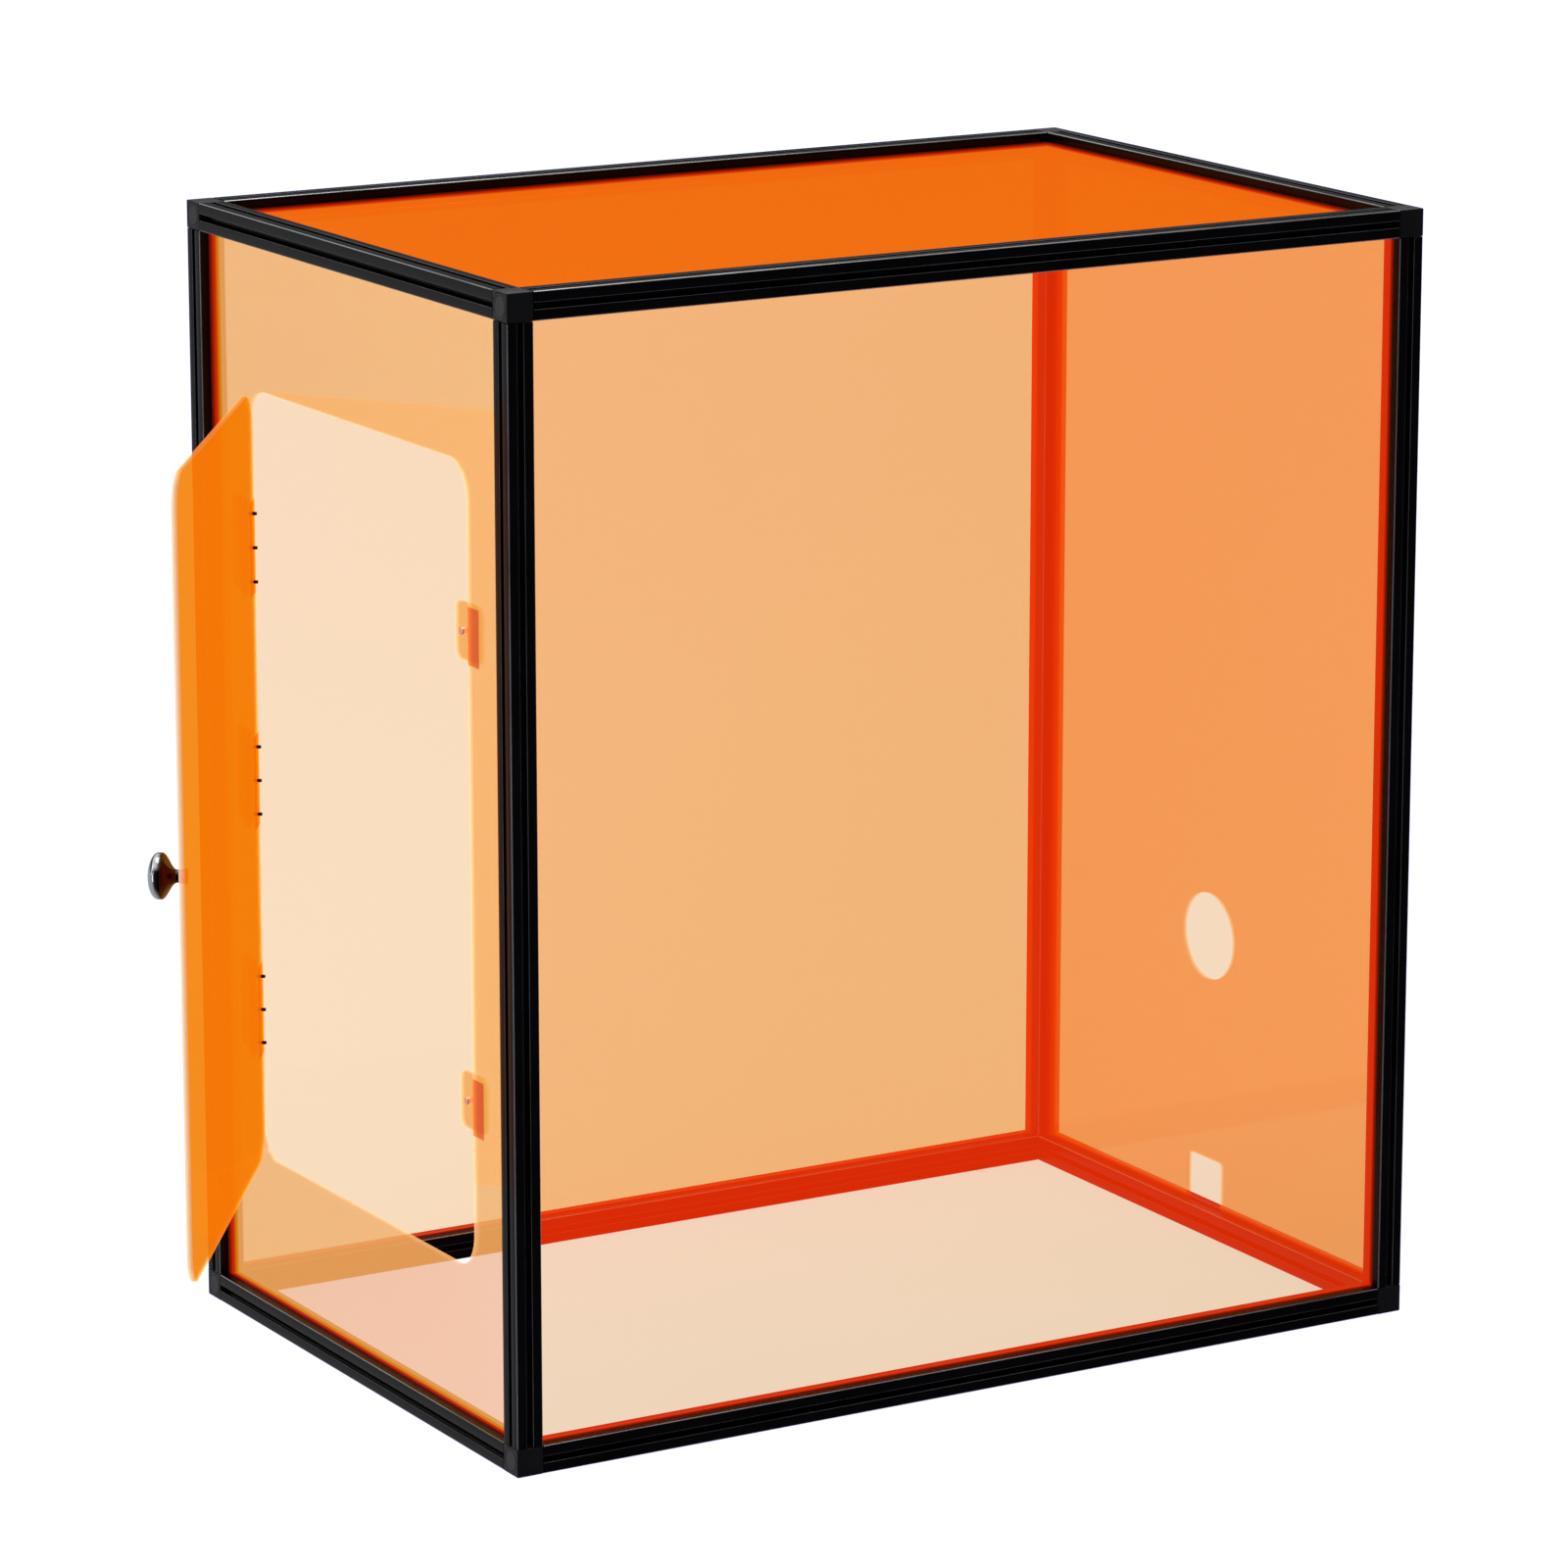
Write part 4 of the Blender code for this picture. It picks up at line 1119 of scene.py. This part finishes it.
def rounded_copy(name, finish, body, edge):
    """A node's own shape, welded and with its sharp edges rounded."""
    shape = bmesh.new()
    shape.from_mesh(frame["nodes"][name].data)
    bmesh.ops.remove_doubles(shape, verts=shape.verts[:], dist=WELD_DISTANCE)
    bmesh.ops.dissolve_limit(shape, angle_limit=math.radians(1), verts=shape.verts[:], edges=shape.edges[:])
    settings = {"width": edge, "segments": 2, "limit_method": "ANGLE", "angle_limit": math.radians(40)}
    mesh = modified(mesh_of(shape, name), "BEVEL", settings)
    finished_object(f"{name}_rounded", mesh, body, finish, 32, [name])


for hinge in HINGES:
    for part, finish, body, slot, edge in (
        ("fixed_leaf", ACRYLICS["hinge_leaf"], "case", "orange_hinge", 0.2 * MM),
        ("door_leaf", ACRYLICS["hinge_leaf"], "door", "orange_hinge", 0.2 * MM),
        ("pin", pin_finish, "case", "steel_pin", 0.15 * MM),
    ):
        rounded_copy(f"hinge_{hinge}_{part}", finish, body, edge)

# %% Make the hinge screws
SCREW_RADIUS = 1.0 * MM
SCREW_HEAD_RADIUS = 1.9 * MM
SCREW_HEAD = 1.2 * MM
THREAD_PITCH = 0.4 * MM
THREAD_DEPTH = 0.1 * MM
DRIVE_WIDTH = 0.45 * MM
DRIVE_REACH = 2.2 * MM
DRIVE_DEPTH = 0.7 * MM
THREAD_TIP = 0.35 * MM
THREAD_OVERLAP = 0.3 * MM
TINY = 0.0001 * MM
screw_from, screw_to = (corner.x for corner in door_box("hinge_upper_screw_1"))
SCREW_SHANK = screw_to - screw_from - SCREW_HEAD


def screw_tree():
    """A pan-head screw along +Z: a shank with thread ridges, a domed head and a cross drive."""
    tree = Pattern("hinge_screw", shank_radius=SCREW_RADIUS, shank_length=SCREW_SHANK, pitch=THREAD_PITCH,
                   thread_depth=THREAD_DEPTH, head_radius=SCREW_HEAD_RADIUS, head_height=SCREW_HEAD,
                   drive_width=DRIVE_WIDTH, drive_depth=DRIVE_DEPTH, finish=screw_finish)
    shank, reach, pitch = tree.value("shank_radius"), tree.value("shank_length"), tree.value("pitch")
    head_radius, head, drive = tree.value("head_radius"), tree.value("head_height"), tree.value("drive_width")

    def lathe(start, end, steps, radius, sides):
        across = tree.out("GeometryNodeMeshGrid", {0: 1.0, 1: 1.0, 2: sides + 1, 3: steps})
        index = Number(tree, tree.out("GeometryNodeInputIndex"))
        row = index.maths("MODULO", float(steps))
        column = index.maths("DIVIDE", float(steps)).maths("FLOOR")
        height_up = row.maths("DIVIDE", float(steps - 1)) * (end - start) + start
        turn = column * (2 * math.pi / sides)
        out = radius(height_up)
        moved = tree.chain(across, "SetPosition", Position=tree.vector(
            out * turn.maths("COSINE"), out * turn.maths("SINE"), height_up))
        return tree.chain(moved, "MergeByDistance", Distance=WELD_DISTANCE)

    def shank_outline(z):
        wave = (z.maths("DIVIDE", pitch) * (2 * math.pi)).maths("COSINE") * 0.5 + 0.5
        near_tip = (reach - z).maths("DIVIDE", THREAD_TIP).clamped()
        closed = (reach - z).maths("GREATER_THAN", TINY) * (z + THREAD_OVERLAP).maths("GREATER_THAN", TINY)
        return (shank - wave * tree.value("thread_depth")) * (near_tip * 0.3 + 0.7) * closed

    def head_outline(z):
        share = (z * -1).maths("DIVIDE", head).clamped()
        dome = (1 - share.maths("POWER", 3.0)).maths("MAXIMUM", 0.0).maths("SQRT")
        return head_radius * dome * z.maths("LESS_THAN", -TINY)

    body = lathe(-THREAD_OVERLAP, reach, 61, shank_outline, 16)
    top = lathe(head * -1, 0.0, 15, head_outline, 28)
    for size_x, size_y in ((drive, DRIVE_REACH), (DRIVE_REACH, drive)):
        sockets = {"Size": tree.vector(size_x, size_y, tree.value("drive_depth") * 2)}
        cutter = tree.out("GeometryNodeMeshCube", sockets)
        cutter = tree.chain(cutter, "Transform", Translation=tree.vector(0.0, 0.0, head * -1))
        settings = {"operation": "DIFFERENCE", "solver": "EXACT"}
        top = tree.out("GeometryNodeMeshBoolean", {0: top, 1: cutter}, settings)
    return tree, tree.chain([body, top], "JoinGeometry")


tree, screw_geometry = screw_tree()
screw_single = tree.run(screw_geometry, bpy.data.meshes.new("empty"))
print("one screw:", len(screw_single.polygons), "faces")
into_case = DOOR_PLACE.to_3x3().to_4x4() @ turned_towards(X)
screw_places = []
for across, up in screw_spots:
    under_head = DOOR_PLACE @ Vector((screw_from + SCREW_HEAD, across, up))
    screw_places.append(Matrix.Translation(under_head) @ into_case)
screw_names = [name for name in frame["nodes"] if "_screw_" in name]
finished_object("hinge_screws", set_out("hinge_screw", screw_single, screw_places, screw_finish), "door",
                screw_finish, 30, screw_names)

# %% Turn the knob
KNOB_STEPS = 16
STEM_RADIUS = 3.4 * MM
FOOT_RADIUS = 4.3 * MM
FOOT_EDGE = 0.2 * MM
WAIST_HEIGHT = 5.2 * MM
RIM_HEIGHT = 13 * MM
RIM = 1.6 * MM
knob_low, knob_high = door_box("knob")
KNOB_HEIGHT = knob_high.x - knob_low.x
KNOB_RADIUS = (knob_high.z - knob_low.z) / 2
KNOB_FOOT = (knob_high.x, *((knob_low + knob_high) / 2).yz)


def knob_profile():
    """Half the knob's outside from its foot up: a waisted stem that flares into a domed head."""
    shares = [step / KNOB_STEPS for step in range(KNOB_STEPS + 1)]
    points = [(0, 0), (FOOT_RADIUS - FOOT_EDGE, 0), (FOOT_RADIUS, FOOT_EDGE)]
    for share in shares[1:]:
        fall = (FOOT_RADIUS - STEM_RADIUS) * math.sin(share * QUARTER)
        points.append((FOOT_RADIUS - fall, FOOT_EDGE + (WAIST_HEIGHT - FOOT_EDGE) * share))
    for share in shares[1:]:
        flare = (KNOB_RADIUS - STEM_RADIUS) * math.sin(share * QUARTER) ** 2
        points.append((STEM_RADIUS + flare, WAIST_HEIGHT + (RIM_HEIGHT - WAIST_HEIGHT) * share))
    shoulder = RIM_HEIGHT + RIM
    for share in shares[:-1]:
        turn = QUARTER * share
        points.append((KNOB_RADIUS * math.cos(turn), shoulder + (KNOB_HEIGHT - shoulder) * math.sin(turn)))
    return points + [(0, KNOB_HEIGHT)]


knob_mesh = turned(knob_profile(), 96)
plated = knob_mesh.attributes.new("plated", "FLOAT", "POINT")
for vertex in knob_mesh.vertices:
    plated.data[vertex.index].value = min(1.0, max(0.0, (vertex.co.z - RIM_HEIGHT) / RIM))
knob_mesh.transform(DOOR_PLACE @ Matrix.Translation(KNOB_FOOT) @ turned_towards((-1, 0, 0)))
finished_object("turned_knob", knob_mesh, "door", knob_finish, 50, ["knob"])
